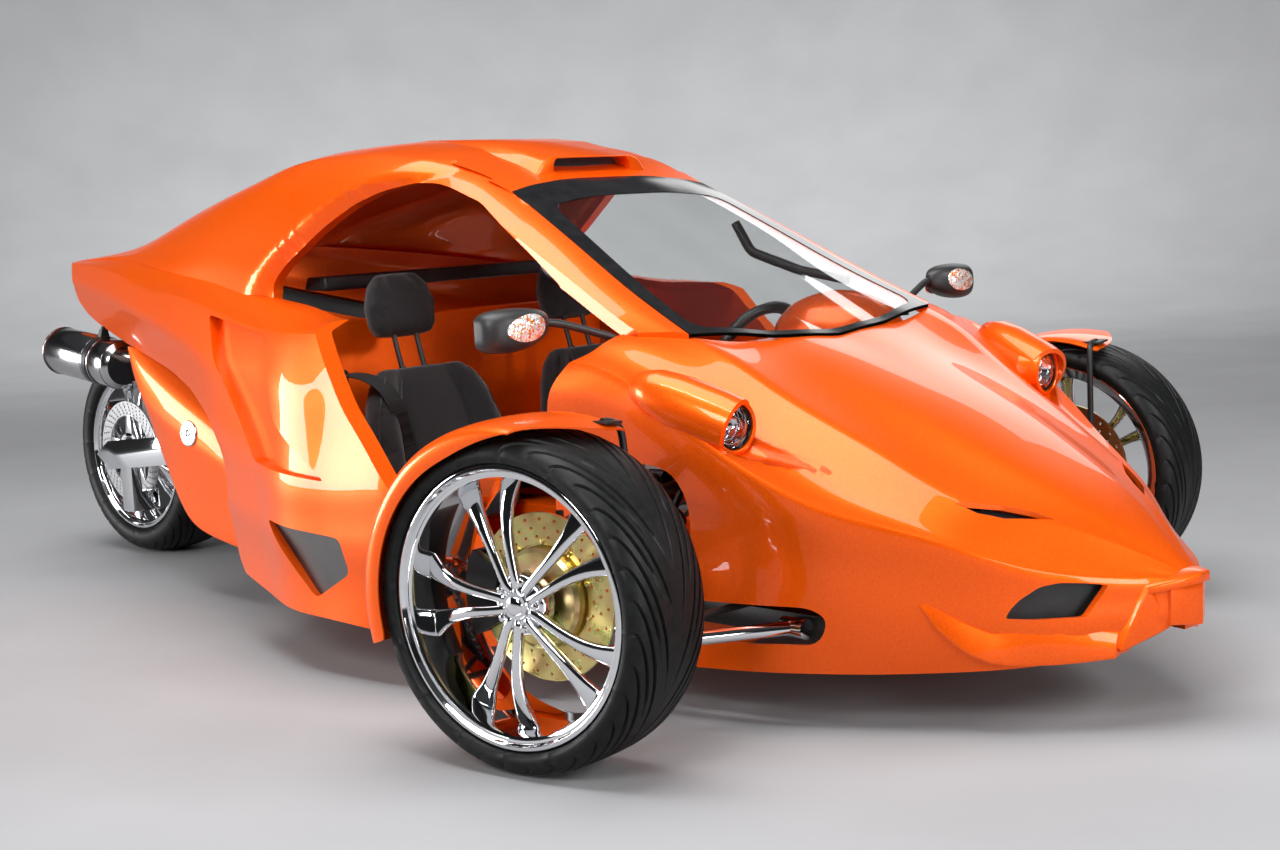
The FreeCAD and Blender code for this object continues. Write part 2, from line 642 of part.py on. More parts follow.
def mirror_housings():
    centre = at(*mirror_shares)
    sections = []
    for x_share, size_share in ((-0.5, 0.94), (-0.2, 1.0), (0.25, 0.85), (0.5, 0.45)):
        x = centre.x + mirror_depth * x_share
        ring = Part.Ellipse(V(x, centre.y, centre.z), mirror_width / 2 * size_share, mirror_height / 2 * size_share)
        ring = ring.toShape()
        ring.rotate(V(x, centre.y, centre.z), left, 90)
        ring.rotate(V(x, centre.y, centre.z), ahead, 90)
        sections.append(Part.Wire(ring))
    shell = Part.makeLoft(sections, True, False)
    recess = Part.makeCylinder(mirror_height * 0.40, mirror_depth * 0.1,
                               V(centre.x - mirror_depth / 2, centre.y, centre.z), ahead)
    stalk = tube(at(*mirror_foot_shares), centre + left * (mirror_width * 0.3), rod_radius * 1.4)
    stalk = stalk.cut(recess).cut(body_block(front_station_shares, 0.050))
    return pair(fuse([shell.cut(recess), stalk]))


def mirror_glasses():
    centre = at(*mirror_shares)
    disc = Part.makeCylinder(mirror_height * 0.40 - soft_gap, mirror_depth * 0.08,
                             V(centre.x - mirror_depth * 0.48, centre.y, centre.z), ahead)
    return pair(disc)


# Frame, engine and suspension
fin_wall = 24.0
fin_outer_share = -0.540
fin_inner_share = fin_outer_share + (fin_wall + soft_gap) / body_half_width
rail_y_share = 0.535
rail_z_share = 0.165
tower_top_share = 0.390
lower_arm_x_shares = (0.085, -0.045)
upper_arm_x_shares = (-0.012, -0.046)
bush_share = 1.4
low_ball_height = 205.0
high_ball_height = 455.0
pin_length = 60.0


def king_pin(side):
    return V(front_axle_x, side * king_pin_spread / 2, front_tyre_radius)


def arm(x_shares, z_share, ball_height, radius, beside):
    # A wishbone from two bushes beside the frame to the king pin's ball.
    king = king_pin(-1)
    eye = V(king.x, king.y, ball_height)
    foot_y = rail_y_share * body_half_width + beside + radius * bush_share + soft_gap
    feet = [V(at(x, 0, 0).x, -foot_y, z_share * roof_height) for x in x_shares]
    legs = [tube(foot, eye, radius) for foot in feet]
    pin = tube(V(eye.x, eye.y, eye.z - pin_length / 2), V(eye.x, eye.y, eye.z + pin_length / 2), rod_radius)
    ball = Part.makeSphere(radius * ball_share, eye)
    bushes = []
    for p in feet:
        bushes.append(tube(p - ahead * radius * 2, p + ahead * radius * 2, radius * bush_share))
    cross = tube(feet[0] + (eye - feet[0]) * 0.55, feet[1] + (eye - feet[1]) * 0.55, radius * 0.8)
    return fuse(legs + [ball, pin, cross] + bushes)


def lower_arm():
    return arm(lower_arm_x_shares, rail_z_share, low_ball_height, arm_tube, rail_tube)


def upper_arm():
    return arm(upper_arm_x_shares, tower_top_share, high_ball_height, arm_tube * 0.8, frame_tube)


rack_radius = 17.6
arm_end_ahead = 120.0
tie_rod_height = rail_z_share * roof_height + rail_tube + moving_gap + rod_radius
rack_half = 330.0


def rack_end(part_share):
    return V(front_axle_x + arm_end_ahead, rack_half * part_share, tie_rod_height)


def frame():
    low = rail_z_share
    y = rail_y_share
    pivot_y = (swing_arm_y + swing_arm_wall + rail_tube + soft_gap) / body_half_width
    pivot_z = swing_pivot_shares[2]
    side_y = tray_shares[-1][1] + (rail_tube + soft_gap) / body_half_width
    rail = square_bar([at(0.160, -0.300, low), at(0.120, -y, low), at(-0.060, -y, low), at(-0.140, -side_y, low),
                       at(-0.505, -side_y, low), at(-0.560, -0.500, low), at(-0.740, -pivot_y, pivot_z),
                       at(-0.775, -pivot_y, pivot_z)], rail_tube)
    tower = square_bar([at(0.022, -y, low), at(0.022, -y, tower_top_share), at(-0.058, -y, tower_top_share),
                        at(-0.058, -y, low)], frame_tube)
    upper = square_bar([at(-0.560, -0.500, low), at(-0.560, -0.420, 0.560), at(-0.900, -0.200, 0.680)], frame_tube)
    stays = [square_bar([at(x, -inner_y, z), at(x, fin_inner_share, z) + left * arm_tube], arm_tube)
             for x, inner_y, z in ((-0.660, 0.376, 0.251), (-0.750, pivot_y, pivot_z))]
    nose = square_bar([at(0.022, -y, tower_top_share), at(0.045, -y, tower_top_share)], frame_tube)
    body_stay = square_bar([at(0.045, -y, tower_top_share), at(0.045, -0.7213, tower_top_share)], arm_tube)
    body_stay = body_stay.cut(skin(front_station_shares, cowl_wall))
    half = weld([rail, tower, upper, nose, body_stay] + stays)
    rack_x_share = (rack_end(1).x - front_axle_x) / wheelbase
    ties = []
    for x, y, z in ((rack_x_share, y, low), (0.160, 0.300, low), (0.022, y, tower_top_share),
                    (-0.742, pivot_y, pivot_z), (-0.560, 0.420, 0.560), (-0.900, 0.200, 0.680), (-0.560, 0.500, low)):
        ties.append(square_bar([at(x, -y, z), at(x, y, z)], brace_tube))
    housing = square_bar([rack_end(-0.7), rack_end(0.7)], frame_tube)
    rack = tube(rack_end(-1), rack_end(1), rack_radius + soft_gap)
    return weld([half, mirror_y(half)] + ties + [housing]).cut(rack)


engine_half_share = 0.240


def engine_block():
    low = at(-0.730, -engine_half_share, rail_z_share + (brace_tube + soft_gap) / roof_height)
    high = at(-0.553, engine_half_share, 0.520)
    return Part.makeBox(high.x - low.x, high.y - low.y, high.z - low.z, low)


def dampers():
    foot = V(at(-0.010, 0, 0).x, at(0, -0.870, 0).y, rail_z_share * roof_height)
    head = at(-0.029, -rail_y_share, tower_top_share)
    way = head - foot
    body = tube(foot, foot + way * 0.55, arm_tube * 1.1)
    rod = tube(foot + way * 0.5, head, rod_radius)
    top_tube = square_bar([at(0.022, -rail_y_share, tower_top_share), at(-0.058, -rail_y_share, tower_top_share)],
                          frame_tube)
    return pair(fuse([body, rod]).cut(top_tube).cut(lower_arm()))


def tie_rods():
    y = king_pin_spread / 2 - rod_radius * 2
    x = front_axle_x + arm_end_ahead
    rack = tube(rack_end(-1), rack_end(1), rack_radius)
    rod = tube(V(x, -y + arm_tube * 2, tie_rod_height), V(x, y - arm_tube * 2, tie_rod_height), rod_radius)
    return fuse([rack, rod])


def steered(shape, side):
    # Front pieces are made pointing straight ahead and stored turned to the parked angle.
    shape = shape.copy()
    shape.rotate(king_pin(side), up, parked_steer_deg)
    return shape


wheel_plane = track / 2


def hub_point(side, y):
    return V(front_axle_x, side * y, front_tyre_radius)


def outward(side):
    return V(0, side, 0)


upright_radius = 22.0
ball_share = 1.15


def upright_post(side, grow):
    king = king_pin(side)
    clear = arm_tube * ball_share + soft_gap * 5
    return tube(V(king.x, king.y, low_ball_height + clear), V(king.x, king.y, high_ball_height - clear),
                upright_radius + grow)


def knuckle(side):
    king = king_pin(side)
    upright = upright_post(side, 0)
    spindle = tube(V(king.x, king.y, king.z), hub_point(side, wheel_plane + hub_radius * 0.4), spindle_radius)
    steer_arm = tube(V(king.x, king.y, tie_rod_height), V(king.x + arm_end_ahead, king.y, tie_rod_height),
                     rod_radius * 1.3)
    body = fuse([upright, spindle, steer_arm])
    for height in (low_ball_height, high_ball_height):
        pin = tube(V(king.x, king.y, height - pin_length / 2 - soft_gap),
                   V(king.x, king.y, height + pin_length / 2 + soft_gap), rod_radius + soft_gap)
        body = body.cut(pin)
    return body


caliper_width = 62.0
caliper_depth = 60.0
caliper_sweep_deg = 56.0
disc_offset = 30.0


def disc_y():
    return king_pin_spread / 2 + upright_radius + disc_offset


def caliper(side):
    # A block astride the disc's rear edge, turned about the axle, on a lug from the upright.
    y = disc_y()
    out = outward(side)
    centre = hub_point(side, y)
    rear = V(-1, 0, 0)
    half = caliper_depth / 2
    row = ((-half, disc_radius - caliper_width), (-half, disc_radius + disc_wall * 2), (half, disc_radius + disc_wall * 2),
           (half, disc_radius - caliper_width), (disc_wall * 1.5, disc_radius - caliper_width),
           (disc_wall * 1.5, disc_radius + disc_wall), (-disc_wall * 1.5, disc_radius + disc_wall),
           (-disc_wall * 1.5, disc_radius - caliper_width))
    points = [centre + out * w + rear * r for w, r in row]
    face = Part.Face(Part.makePolygon(points + [points[0]]))
    face.rotate(centre, out, -caliper_sweep_deg / 2)
    block = face.revolve(centre, out, caliper_sweep_deg)
    king = king_pin(side)
    lug_z = king.z + disc_radius / 3
    lug = tube(V(king.x, king.y, lug_z), V(king.x - disc_radius * 0.8, side * (y - half), lug_z), rod_radius * 1.5)
    return block.fuse(lug.cut(upright_post(side, fit_gap))).removeSplitter()


# Front wheel pieces, made about the straight-ahead axle
def wheel_tyre(radius, width, bead_radius, centre, way):
    # Tyre section turned about the axle: bead, side wall, shoulder, tread and back.
    half = width / 2
    wall = (radius - bead_radius)
    profile = ((-0.84, 0.32), (-0.98, 0.45), (-1.0, 0.62), (-0.95, 0.82), (-0.82, 0.95), (-0.45, 0.995), (0, 1.0))
    points = [(w * half, bead_radius + r * wall) for w, r in profile]
    points = points + [(-w, r) for w, r in reversed(points[:-1])]
    side = V(1, 0, 0)
    outer = [centre + way * w + side * r for w, r in points]
    beads = [centre + way * (w * half * 0.84) + side * bead_radius for w in (1, -1)]
    curve = Part.BSplineCurve()
    curve.interpolate(outer)
    floor = Part.makePolygon([outer[-1]] + beads + [outer[0]])
    face = Part.Face(Part.Wire([curve.toShape()] + floor.Edges))
    return face.revolve(centre, way, 360)


spoke_pairs = 5


def wheel_rim(radius, width, centre, way, outer_side):
    # Barrel with lips, a concave face of double spokes that flare at the rim, and a hub.
    half = width / 2
    lip = radius
    seat = radius * 0.93
    drop = radius * 0.86
    outer_row = ((-1.0, lip), (-0.97, seat), (-0.6, seat), (-0.45, drop), (0.1, drop), (0.35, seat * 0.985),
                 (0.97, seat), (1.0, lip))
    side = V(1, 0, 0)
    w_out = [centre + way * (w * half) + side * r for w, r in outer_row]
    w_in = [centre + way * (w * half) + side * (r - rim_wall) for w, r in reversed(outer_row)]
    barrel = Part.Face(Part.makePolygon(w_out + w_in + [w_out[0]])).revolve(centre, way, 360)
    face_in, face_out = half * 0.42 * outer_side, half * 0.72 * outer_side
    spoke_wall = radius * 0.12 * outer_side
    reach = seat * 0.985 - rim_wall * 0.3
    row = ((hub_radius * 0.5, face_out), (reach, face_in), (reach, face_in - spoke_wall),
           (hub_radius * 0.5, face_out - spoke_wall * 1.4))
    disc = Part.Face(Part.makePolygon([centre + side * r + way * w for r, w in row + (row[0],)]))
    disc = disc.revolve(centre, way, 360)
    rise = way.cross(side)
    arms = []
    for k in range(spoke_pairs):
        for lean in (-1, 1):
            angle = math.radians(90 + 360.0 * k / spoke_pairs)
            out = side * math.cos(angle) + rise * math.sin(angle)
            across = side * -math.sin(angle) + rise * math.cos(angle)
            plan = ((0.12, 0.02), (0.55, 0.05), (0.80, 0.10), (0.93, 0.30), (0.93, 0.08), (0.75, 0.0), (0.5, -0.03),
                    (0.12, -0.06))
            spread = 0.10
            points = [centre + way * (-width) + out * (r * radius * 0.97) + across * (lean * (c + spread) * radius)
                      for r, c in plan]
            arms.append(prism(points, way * (2 * width)))
    spokes = [disc.common(arm) for arm in arms]
    hub = Part.makeCylinder(hub_radius, half * 0.74, centre, way * outer_side)
    bore = Part.makeCylinder(spindle_radius + fit_gap, half * 0.45, centre - way * outer_side * fit_gap,
                             way * outer_side)
    hub = hub.cut(bore)
    return fuse([barrel, hub] + spokes)


def front_tyre(side):
    return wheel_tyre(front_tyre_radius, front_tyre_width, front_rim_radius * 0.93 + seam_gap,
                      hub_point(side, wheel_plane), outward(side))


def front_rim(side):
    return wheel_rim(front_rim_radius, front_rim_width, hub_point(side, wheel_plane), outward(side), 1)


def brake_disc(side):
    y = disc_y()
    ring = Part.makeCylinder(disc_radius, disc_wall, hub_point(side, y - disc_wall / 2), outward(side))
    hole = Part.makeCylinder(disc_radius * 0.60, overrun, hub_point(side, y - overrun / 2), outward(side))
    bell = Part.makeCylinder(disc_radius * 0.62, wheel_plane - y - soft_gap, hub_point(side, y), outward(side))
    bell = bell.cut(Part.makeCylinder(spindle_radius * 1.5, overrun, hub_point(side, y - overrun / 2), outward(side)))
    bell = bell.cut(Part.makeCylinder(disc_radius * 0.58, wheel_plane - y - disc_wall * 2, hub_point(side, y),
                                      outward(side)))
    return ring.cut(hole).fuse(bell).removeSplitter()


fender_gap = 24.0
fender_wall = 8.0
fender_start_deg = -16.0
fender_end_deg = 112.0
skirt_end_deg = 96.0
stay_ahead = 110.0


def fender(side):
    # Angles run from the rear horizontal up over the tyre to the front.
    centre = hub_point(side, wheel_plane)
    out = outward(side)
    radius = front_tyre_radius + fender_gap
    half = front_tyre_width / 2 + fender_wall * 1.5
    rear = V(-1, 0, 0)

    def swept(row, start, sweep):
        points = [centre + out * w + rear * r for w, r in row]
        face = Part.Face(Part.makePolygon(points + [points[0]]))
        turn = out if side > 0 else out * -1
        face.rotate(centre, turn, start)
        return face.revolve(centre, turn, sweep)

    top_row = ((-half, radius * 0.97), (-half * 0.5, radius), (half * 0.5, radius), (half, radius * 0.96),
               (half, radius * 0.96 + fender_wall), (half * 0.5, radius + fender_wall),
               (-half * 0.5, radius + fender_wall), (-half, radius * 0.97 + fender_wall))
    skirt_row = ((half, radius * 0.86), (half + fender_wall, radius * 0.86), (half + fender_wall, radius * 0.95),
                 (half, radius * 0.96 + fender_wall))
    top = swept(top_row, fender_start_deg, fender_end_deg - fender_start_deg)
    skirt = swept(skirt_row, fender_start_deg, skirt_end_deg - fender_start_deg)
    king = king_pin(side)
    stay_y = side * (wheel_plane - half - rod_radius * 2)
    stay_x = king.x + stay_ahead
    rise = math.sqrt(radius ** 2 - stay_ahead ** 2)
    foot_z = king.z + upright_radius * 2
    stay = bar([V(king.x + upright_radius * 0.9, king.y, foot_z), V(stay_x, stay_y, foot_z),
                V(stay_x, stay_y, king.z + rise), V(stay_x, side * (wheel_plane - half * 0.85), king.z + rise)],
               rod_radius)
    return fuse([top, skirt, stay]).cut(upright_post(side, soft_gap))


# Rear wheel, swing arm and drive
swing_arm_y = 165.0
swing_arm_wall = 34.0
swing_arm_height = 90.0
swing_pivot_shares = (-0.770, 0, 0.320)


def rear_centre(y):
    return V(rear_axle_x, y, rear_tyre_radius)


def swing_arm():
    pivot = at(*swing_pivot_shares)
    axle = rear_centre(0)
    half = swing_arm_height / 2
    outline = [V(pivot.x, 0, pivot.z - half), V(axle.x, 0, axle.z - half), V(axle.x - half * 1.6, 0, axle.z),
               V(axle.x, 0, axle.z + half), V(pivot.x, 0, pivot.z + half)]
    arms = []
    for y in (-swing_arm_y - swing_arm_wall, swing_arm_y):
        arms.append(prism([V(p.x, y, p.z) for p in outline], left * swing_arm_wall))
    cross = tube(V(pivot.x - half, -swing_arm_y, pivot.z), V(pivot.x - half, swing_arm_y, pivot.z), half * 0.7)
    axle_bar = tube(rear_centre(-swing_arm_y), rear_centre(swing_arm_y), spindle_radius)
    return fuse(arms + [cross, axle_bar, rear_caliper()])


def rear_caliper():
    # A block astride the rear disc, hung from the right arm by a bracket.
    x = rear_axle_x + disc_radius * 0.4
    low = rear_tyre_radius - disc_radius * 1.05
    disc_face = -rear_rim_width / 2 - disc_wall * 2
    block = Part.makeBox(caliper_width, swing_arm_wall * 2.8, caliper_width, V(x, -swing_arm_y - swing_arm_wall, low))
    slot = Part.makeBox(overrun, disc_wall + moving_gap * 2, caliper_width,
                        V(x - overrun / 2, disc_face - moving_gap, low + disc_wall * 1.5))
    bracket = Part.makeBox(caliper_width, swing_arm_wall, caliper_width * 2.5, V(x, -swing_arm_y - swing_arm_wall, low))
    return block.cut(slot).fuse(bracket)


def rear_tyre():
    return wheel_tyre(rear_tyre_radius, rear_tyre_width, rear_rim_radius * 0.93 + seam_gap, rear_centre(0), left)


def rear_rim():
    rim = wheel_rim(rear_rim_radius, rear_rim_width, rear_centre(0), left, -1)
    hub = Part.makeCylinder(hub_radius * 0.8, rear_rim_width * 1.2, rear_centre(-rear_rim_width * 0.6), left)
    rim = rim.fuse(hub).removeSplitter()
    return rim.cut(Part.makeCylinder(spindle_radius + fit_gap, overrun * 2, rear_centre(-overrun), left))


def rear_disc():
    y = -rear_rim_width / 2 - disc_wall * 2
    ring = Part.makeCylinder(disc_radius, disc_wall, rear_centre(y), left)
    ring = ring.cut(Part.makeCylinder(hub_radius * 0.8 + fit_gap, overrun, rear_centre(y - overrun / 2), left))
    sprocket = Part.makeCylinder(disc_radius * 0.66, disc_wall, rear_centre(-y - disc_wall), left)
    sprocket = sprocket.cut(Part.makeCylinder(hub_radius * 0.8 + fit_gap, overrun, rear_centre(0), left))
    return Part.makeCompound([ring, sprocket])


muffler_shares = (-0.870, -0.420, 0.540)
muffler_end_share = -0.998
muffler_radius = 76.0
outlet_radius = 26.0
outlet_depth = 70.0


def mufflers():
    front = at(*muffler_shares)
    rear = at(muffler_end_share, muffler_shares[1], muffler_shares[2])
    return pair(tube(front, rear, muffler_radius).cut(tube(rear, rear + ahead * outlet_depth, outlet_radius)))


def exhaust_pipes():
    front = at(*muffler_shares)
    points = [front + ahead * seam_gap, at(-0.830, -0.420, 0.540), at(-0.780, -0.350, 0.420), at(-0.690, -0.350, 0.400),
              at(-0.690, -engine_half_share, 0.400) - left * soft_gap]
    return pair(bent_tube(points, frame_tube, frame_tube * 2.5))


fin_shares = ((-0.854, 0.563), (-0.716, 0.535), (-0.659, 0.460), (-0.630, 0.375), (-0.641, 0.131), (-0.710, 0.142),
              (-0.740, 0.175), (-0.779, 0.379))


def side_fins():
    return pair(side_prism(fin_shares, fin_outer_share, fin_outer_share + fin_wall / body_half_width))


fuel_cap_radius = 34.0


def fuel_cap():
    centre = at(-0.690, fin_outer_share, 0.392)
    return Part.makeCylinder(fuel_cap_radius, fin_wall * 0.4, centre - left * soft_gap, left * -1)


def inner_mesh():
    # A layer against the inner face of the front body.
    return skin(front_station_shares, cowl_wall + mesh_wall).cut(skin(front_station_shares, cowl_wall))


def mesh_grilles():
    side = side_prism(side_vent_shares, -0.985, -0.985 + mesh_wall / body_half_width)
    layer = inner_mesh()
    front = layer.common(front_prism([(-y, z) for y, z in grille_hole_shares], 0.190, 0.330))
    hood = layer.common(plan_prism([(x, -y) for x, y in hood_slot_shares], 0.250, 0.600))
    scoop = front_prism(((-0.164, 0.9185), (0.164, 0.9185), (0.1545, 0.9475), (-0.1545, 0.9475)), -0.2915, -0.289)
    pieces = []
    for piece in (side, front, hood):
        pieces = pieces + [piece, mirror_y(piece)]
    return Part.makeCompound(pieces + [scoop])


def main():
    os.makedirs("parts", exist_ok=True)
    save("front_body", front_body())
    save("front_lip", front_lip())
    save("headlamp_bowls", headlamp_bowls())
    save("headlamp_lenses", headlamp_lenses())
    save("windscreen", windscreen())
    save("roof_shell", roof_shell())
    save("side_panel_right", side_panel())
    save("side_panel_left", mirror_y(side_panel()))
    save("tail_fascia", tail_fascia())
    save("tail_lamps", tail_lamps())
    save("side_fins", side_fins())
    save("fuel_cap", fuel_cap())
    save("mesh_grilles", mesh_grilles())
    save("cockpit_tub", cockpit_tub())
    save("dashboard", dashboard())
    save("seat_cushions", seat_cushions())
    save("seat_backs", seat_backs())
    save("headrests", headrests())
    save("seat_belts", seat_belts())
    save("grab_handles", grab_handles())
    save("mirror_housings", mirror_housings())
    save("mirror_glasses", mirror_glasses())
    save("frame", frame())
    save("engine_block", engine_block())
    save("lower_arms", pair(lower_arm()))
    save("upper_arms", pair(upper_arm()))
    save("dampers", dampers())
    save("steering_column", steering_column())
    save("steering_wheel", steering_wheel())
    save("tie_rods", tie_rods())
    for name, side in (("right", -1), ("left", 1)):
        save("knuckle_" + name, steered(knuckle(side), side))
        save("caliper_" + name, steered(caliper(side), side))
        save("fender_" + name, steered(fender(side), side))
        save("front_rim_" + name, steered(front_rim(side), side))
        save("front_tyre_" + name, steered(front_tyre(side), side))
        save("front_disc_" + name, steered(brake_disc(side), side))
    save("swing_arm", swing_arm())
    save("rear_rim", rear_rim())
    save("rear_tyre", rear_tyre())
    save("rear_disc", rear_disc())
    save("mufflers", mufflers())
    save("exhaust_pipes", exhaust_pipes())


main()
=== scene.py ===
import bpy
import math
from mathutils import Matrix, Vector
from mathutils.bvhtree import BVHTree


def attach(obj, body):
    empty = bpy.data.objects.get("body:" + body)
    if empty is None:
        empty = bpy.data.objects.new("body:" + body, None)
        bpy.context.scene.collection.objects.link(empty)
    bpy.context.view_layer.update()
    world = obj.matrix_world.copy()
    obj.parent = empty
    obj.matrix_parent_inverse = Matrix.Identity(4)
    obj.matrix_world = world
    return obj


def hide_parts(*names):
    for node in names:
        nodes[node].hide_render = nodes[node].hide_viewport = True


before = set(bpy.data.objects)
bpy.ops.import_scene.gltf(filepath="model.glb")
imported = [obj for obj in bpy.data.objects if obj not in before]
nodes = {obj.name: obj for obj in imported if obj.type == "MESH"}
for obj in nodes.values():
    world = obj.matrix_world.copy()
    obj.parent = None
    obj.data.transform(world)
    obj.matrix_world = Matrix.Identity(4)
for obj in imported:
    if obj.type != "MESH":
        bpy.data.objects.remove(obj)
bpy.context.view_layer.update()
sides = ((1, 'Left'), (-1, 'Right'))


# small tools used all over


def mm(shape):  # whole tables from millimetres to metres
    if isinstance(shape, (tuple, list)):
        return type(shape)(mm(part) for part in shape)
    return shape / 1000


def deselectAll():
    if bpy.context.object and bpy.context.object.mode != 'OBJECT':
        bpy.ops.object.mode_set(mode='OBJECT')
    bpy.ops.object.select_all(action='DESELECT')


def pick(piece):
    deselectAll()
    piece.select_set(True)
    bpy.context.view_layer.objects.active = piece


def editAll(piece):
    pick(piece)
    bpy.ops.object.mode_set(mode='EDIT')
    bpy.ops.mesh.select_all(action='SELECT')


def leaveFacing(inside=False):  # leaves edit mode with every face turned out, or in
    bpy.ops.mesh.select_all(action='SELECT')
    bpy.ops.mesh.normals_make_consistent(inside=inside)
    bpy.ops.object.mode_set(mode='OBJECT')


def applied(piece, modifier):
    pick(piece)
    bpy.ops.object.modifier_apply(modifier=modifier.name)
    return piece


def modify(piece, kind, **values):  # a modifier made, set and applied
    modifier = piece.modifiers.new(kind.lower(), kind)
    for key, value in values.items():
        setattr(modifier, key, value)
    return applied(piece, modifier)


def rename(piece, name):
    piece.name = name
    piece.data.name = name
    return piece


def added(name, make, **values):  # a basic shape from one of Blender's operators
    deselectAll()
    make(**values)
    return rename(bpy.context.object, name)


def pulled(piece, points):  # a shape's points moved to new places
    piece.data.vertices.foreach_set('co', [c for point in points for c in point])
    piece.data.update()
    return piece


def settle(piece):  # place goes into the mesh, the object stays at the origin
    pick(piece)
    bpy.ops.object.transform_apply(location=True, rotation=True, scale=True)
    return piece


def outward(piece, merge=0.00005):
    editAll(piece)
    if merge:
        bpy.ops.mesh.remove_doubles(threshold=merge)
    leaveFacing()
    return piece


def smooth(piece, angle=32):
    pick(piece)
    bpy.ops.object.shade_smooth_by_angle(angle=math.radians(angle))
    return piece


def soften(piece, levels, **values):
    return modify(piece, 'SUBSURF', levels=levels, render_levels=levels, **values)


def thicken(piece, wall, offset=-1.0, even=True):
    return modify(piece, 'SOLIDIFY', thickness=wall, offset=offset, use_even_offset=even,
                  use_quality_normals=True)


def easeEdges(piece, width, segments=2, angle=30):
    return modify(piece, 'BEVEL', width=width, segments=segments, limit_method='ANGLE',
                  angle_limit=math.radians(angle))


def join(name, pieces):
    deselectAll()
    for piece in pieces:
        piece.select_set(True)
    bpy.context.view_layer.objects.active = pieces[0]
    bpy.ops.object.join()
    return rename(bpy.context.object, name)


def copyOf(piece, name):
    twin = piece.copy()
    twin.data = piece.data.copy()
    bpy.context.collection.objects.link(twin)
    return rename(twin, name)


def moveMesh(piece, matrix):
    piece.data.transform(matrix)
    piece.data.update()
    return piece


def flipSide(piece):  # turned into its own mirror image
    moveMesh(piece, Matrix.Diagonal((1, -1, 1, 1)))
    piece.data.flip_normals()
    return piece


def turnUp(piece):  # a sheet's outer side, where it is highest, faces up
    if max(piece.data.polygons, key=lambda face: face.center.z).normal.z <= 0:
        piece.data.flip_normals()


def turnLeft(piece):
    if sum(face.normal.y for face in piece.data.polygons) < 0:
        piece.data.flip_normals()


def gridPiece(name, rows):  # a grid pulled into the shape that its rows of points give
    piece = added(name, bpy.ops.mesh.primitive_grid_add, x_subdivisions=len(rows[0]) - 1,
                  y_subdivisions=len(rows) - 1, size=1)
    return pulled(piece, [point for row in rows for point in row])


def creaseRows(piece, columns, weights):  # weights: row number to how sharp that row stays
    layer = piece.data.attributes.new('crease_edge', 'FLOAT', 'EDGE')
    for edge in piece.data.edges:
        a, b = edge.vertices
        row = a // columns
        if row == b // columns and row in weights:
            layer.data[edge.index].value = weights[row]


def loopPiece(name, points):  # a closed loop of points
    piece = added(name, bpy.ops.mesh.primitive_circle_add, vertices=len(points), fill_type='NOTHING')
    return pulled(piece, points)


def spunPiece(name, profile, steps):  # a closed profile of (radius, along), turned about Y
    piece = loopPiece(name, [(r, a, 0) for r, a in profile])
    editAll(piece)
    bpy.ops.mesh.spin(steps=steps, angle=math.tau, center=(0, 0, 0), axis=(0, 1, 0))
    bpy.ops.mesh.select_all(action='SELECT')
    bpy.ops.mesh.remove_doubles(threshold=0.00002)
    leaveFacing()
    return piece


def rounded(outline, radius, steps=4):  # corners of an outline eased by short curves
    points = []
    count = len(outline)
    for i in range(count):
        before, corner, after = (Vector(outline[(i + k) % count]) for k in (-1, 0, 1))
        into, out = before - corner, after - corner
        a = corner + into * min(radius / into.length, 0.45)
        b = corner + out * min(radius / out.length, 0.45)
        for k in range(steps + 1):
            t = k / steps
            points.append(tuple(a * (1 - t) ** 2 + corner * 2 * t * (1 - t) + b * t ** 2))
    return points


def drawnOut(name, points, way):  # a flat face on the points, drawn out into a solid
    piece = loopPiece(name, points)
    editAll(piece)
    bpy.ops.mesh.edge_face_add()
    bpy.ops.mesh.extrude_region_move(TRANSFORM_OT_translate={"value": way})
    leaveFacing()
    return piece


def prismPiece(name, outline, axis, low, high):
    spot = 'xyz'.index(axis)
    points = [(*p[:spot], low, *p[spot:]) for p in outline]
    return drawnOut(name, points, [high - low if k == spot else 0 for k in range(3)])


def cutAway(piece, tool, keep='DIFFERENCE'):
    modify(piece, 'BOOLEAN', operation=keep, solver='EXACT', object=tool)
    bpy.data.objects.remove(tool)


def cutPrism(piece, outline, axis, low, high, keep='DIFFERENCE'):
    cutAway(piece, prismPiece('tool', outline, axis, low, high), keep)


def cutBothSides(piece, outline, axis, low, high):  # along X or Z, on each side of the car
    across = 1 if axis == 'z' else 0
    flip = [tuple(-c if k == across else c for k, c in enumerate(p)) for p in outline]
    for one in (outline, flip):
        cutPrism(piece, one, axis, low, high)


def tubePiece(name, points, radius, sides=16):  # a round bar along points
    curve = bpy.data.curves.new(name, 'CURVE')
    curve.dimensions = '3D'
    curve.bevel_depth = radius
    curve.bevel_resolution = sides // 4
    curve.use_fill_caps = True
    spline = curve.splines.new('NURBS')
    spline.points.add(len(points) - 1)
    for spot, point in zip(spline.points, points):
        spot.co = (*point, 1)
    spline.order_u = 3
    spline.use_endpoint_u = True
    spline.resolution_u = 12
    piece = bpy.data.objects.new(name, curve)
    bpy.context.collection.objects.link(piece)
    pick(piece)
    bpy.ops.object.convert(target='MESH')
    return rename(bpy.context.object, name)


def fixedOn(piece, body, material, node=None):
    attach(piece, body)
    piece.data.materials.clear()
    piece.data.materials.append(material)
    if node:
        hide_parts(node)


def onChassis(piece, material, node=None):
    fixedOn(piece, 'chassis', material, node)


def pairOn(piece, material, node=None):  # the piece on the left and its mirror image on the right
    other = flipSide(copyOf(piece, piece.name + 'Right'))
    rename(piece, piece.name + 'Left')
    for one in (piece, other):
        onChassis(one, material, node)


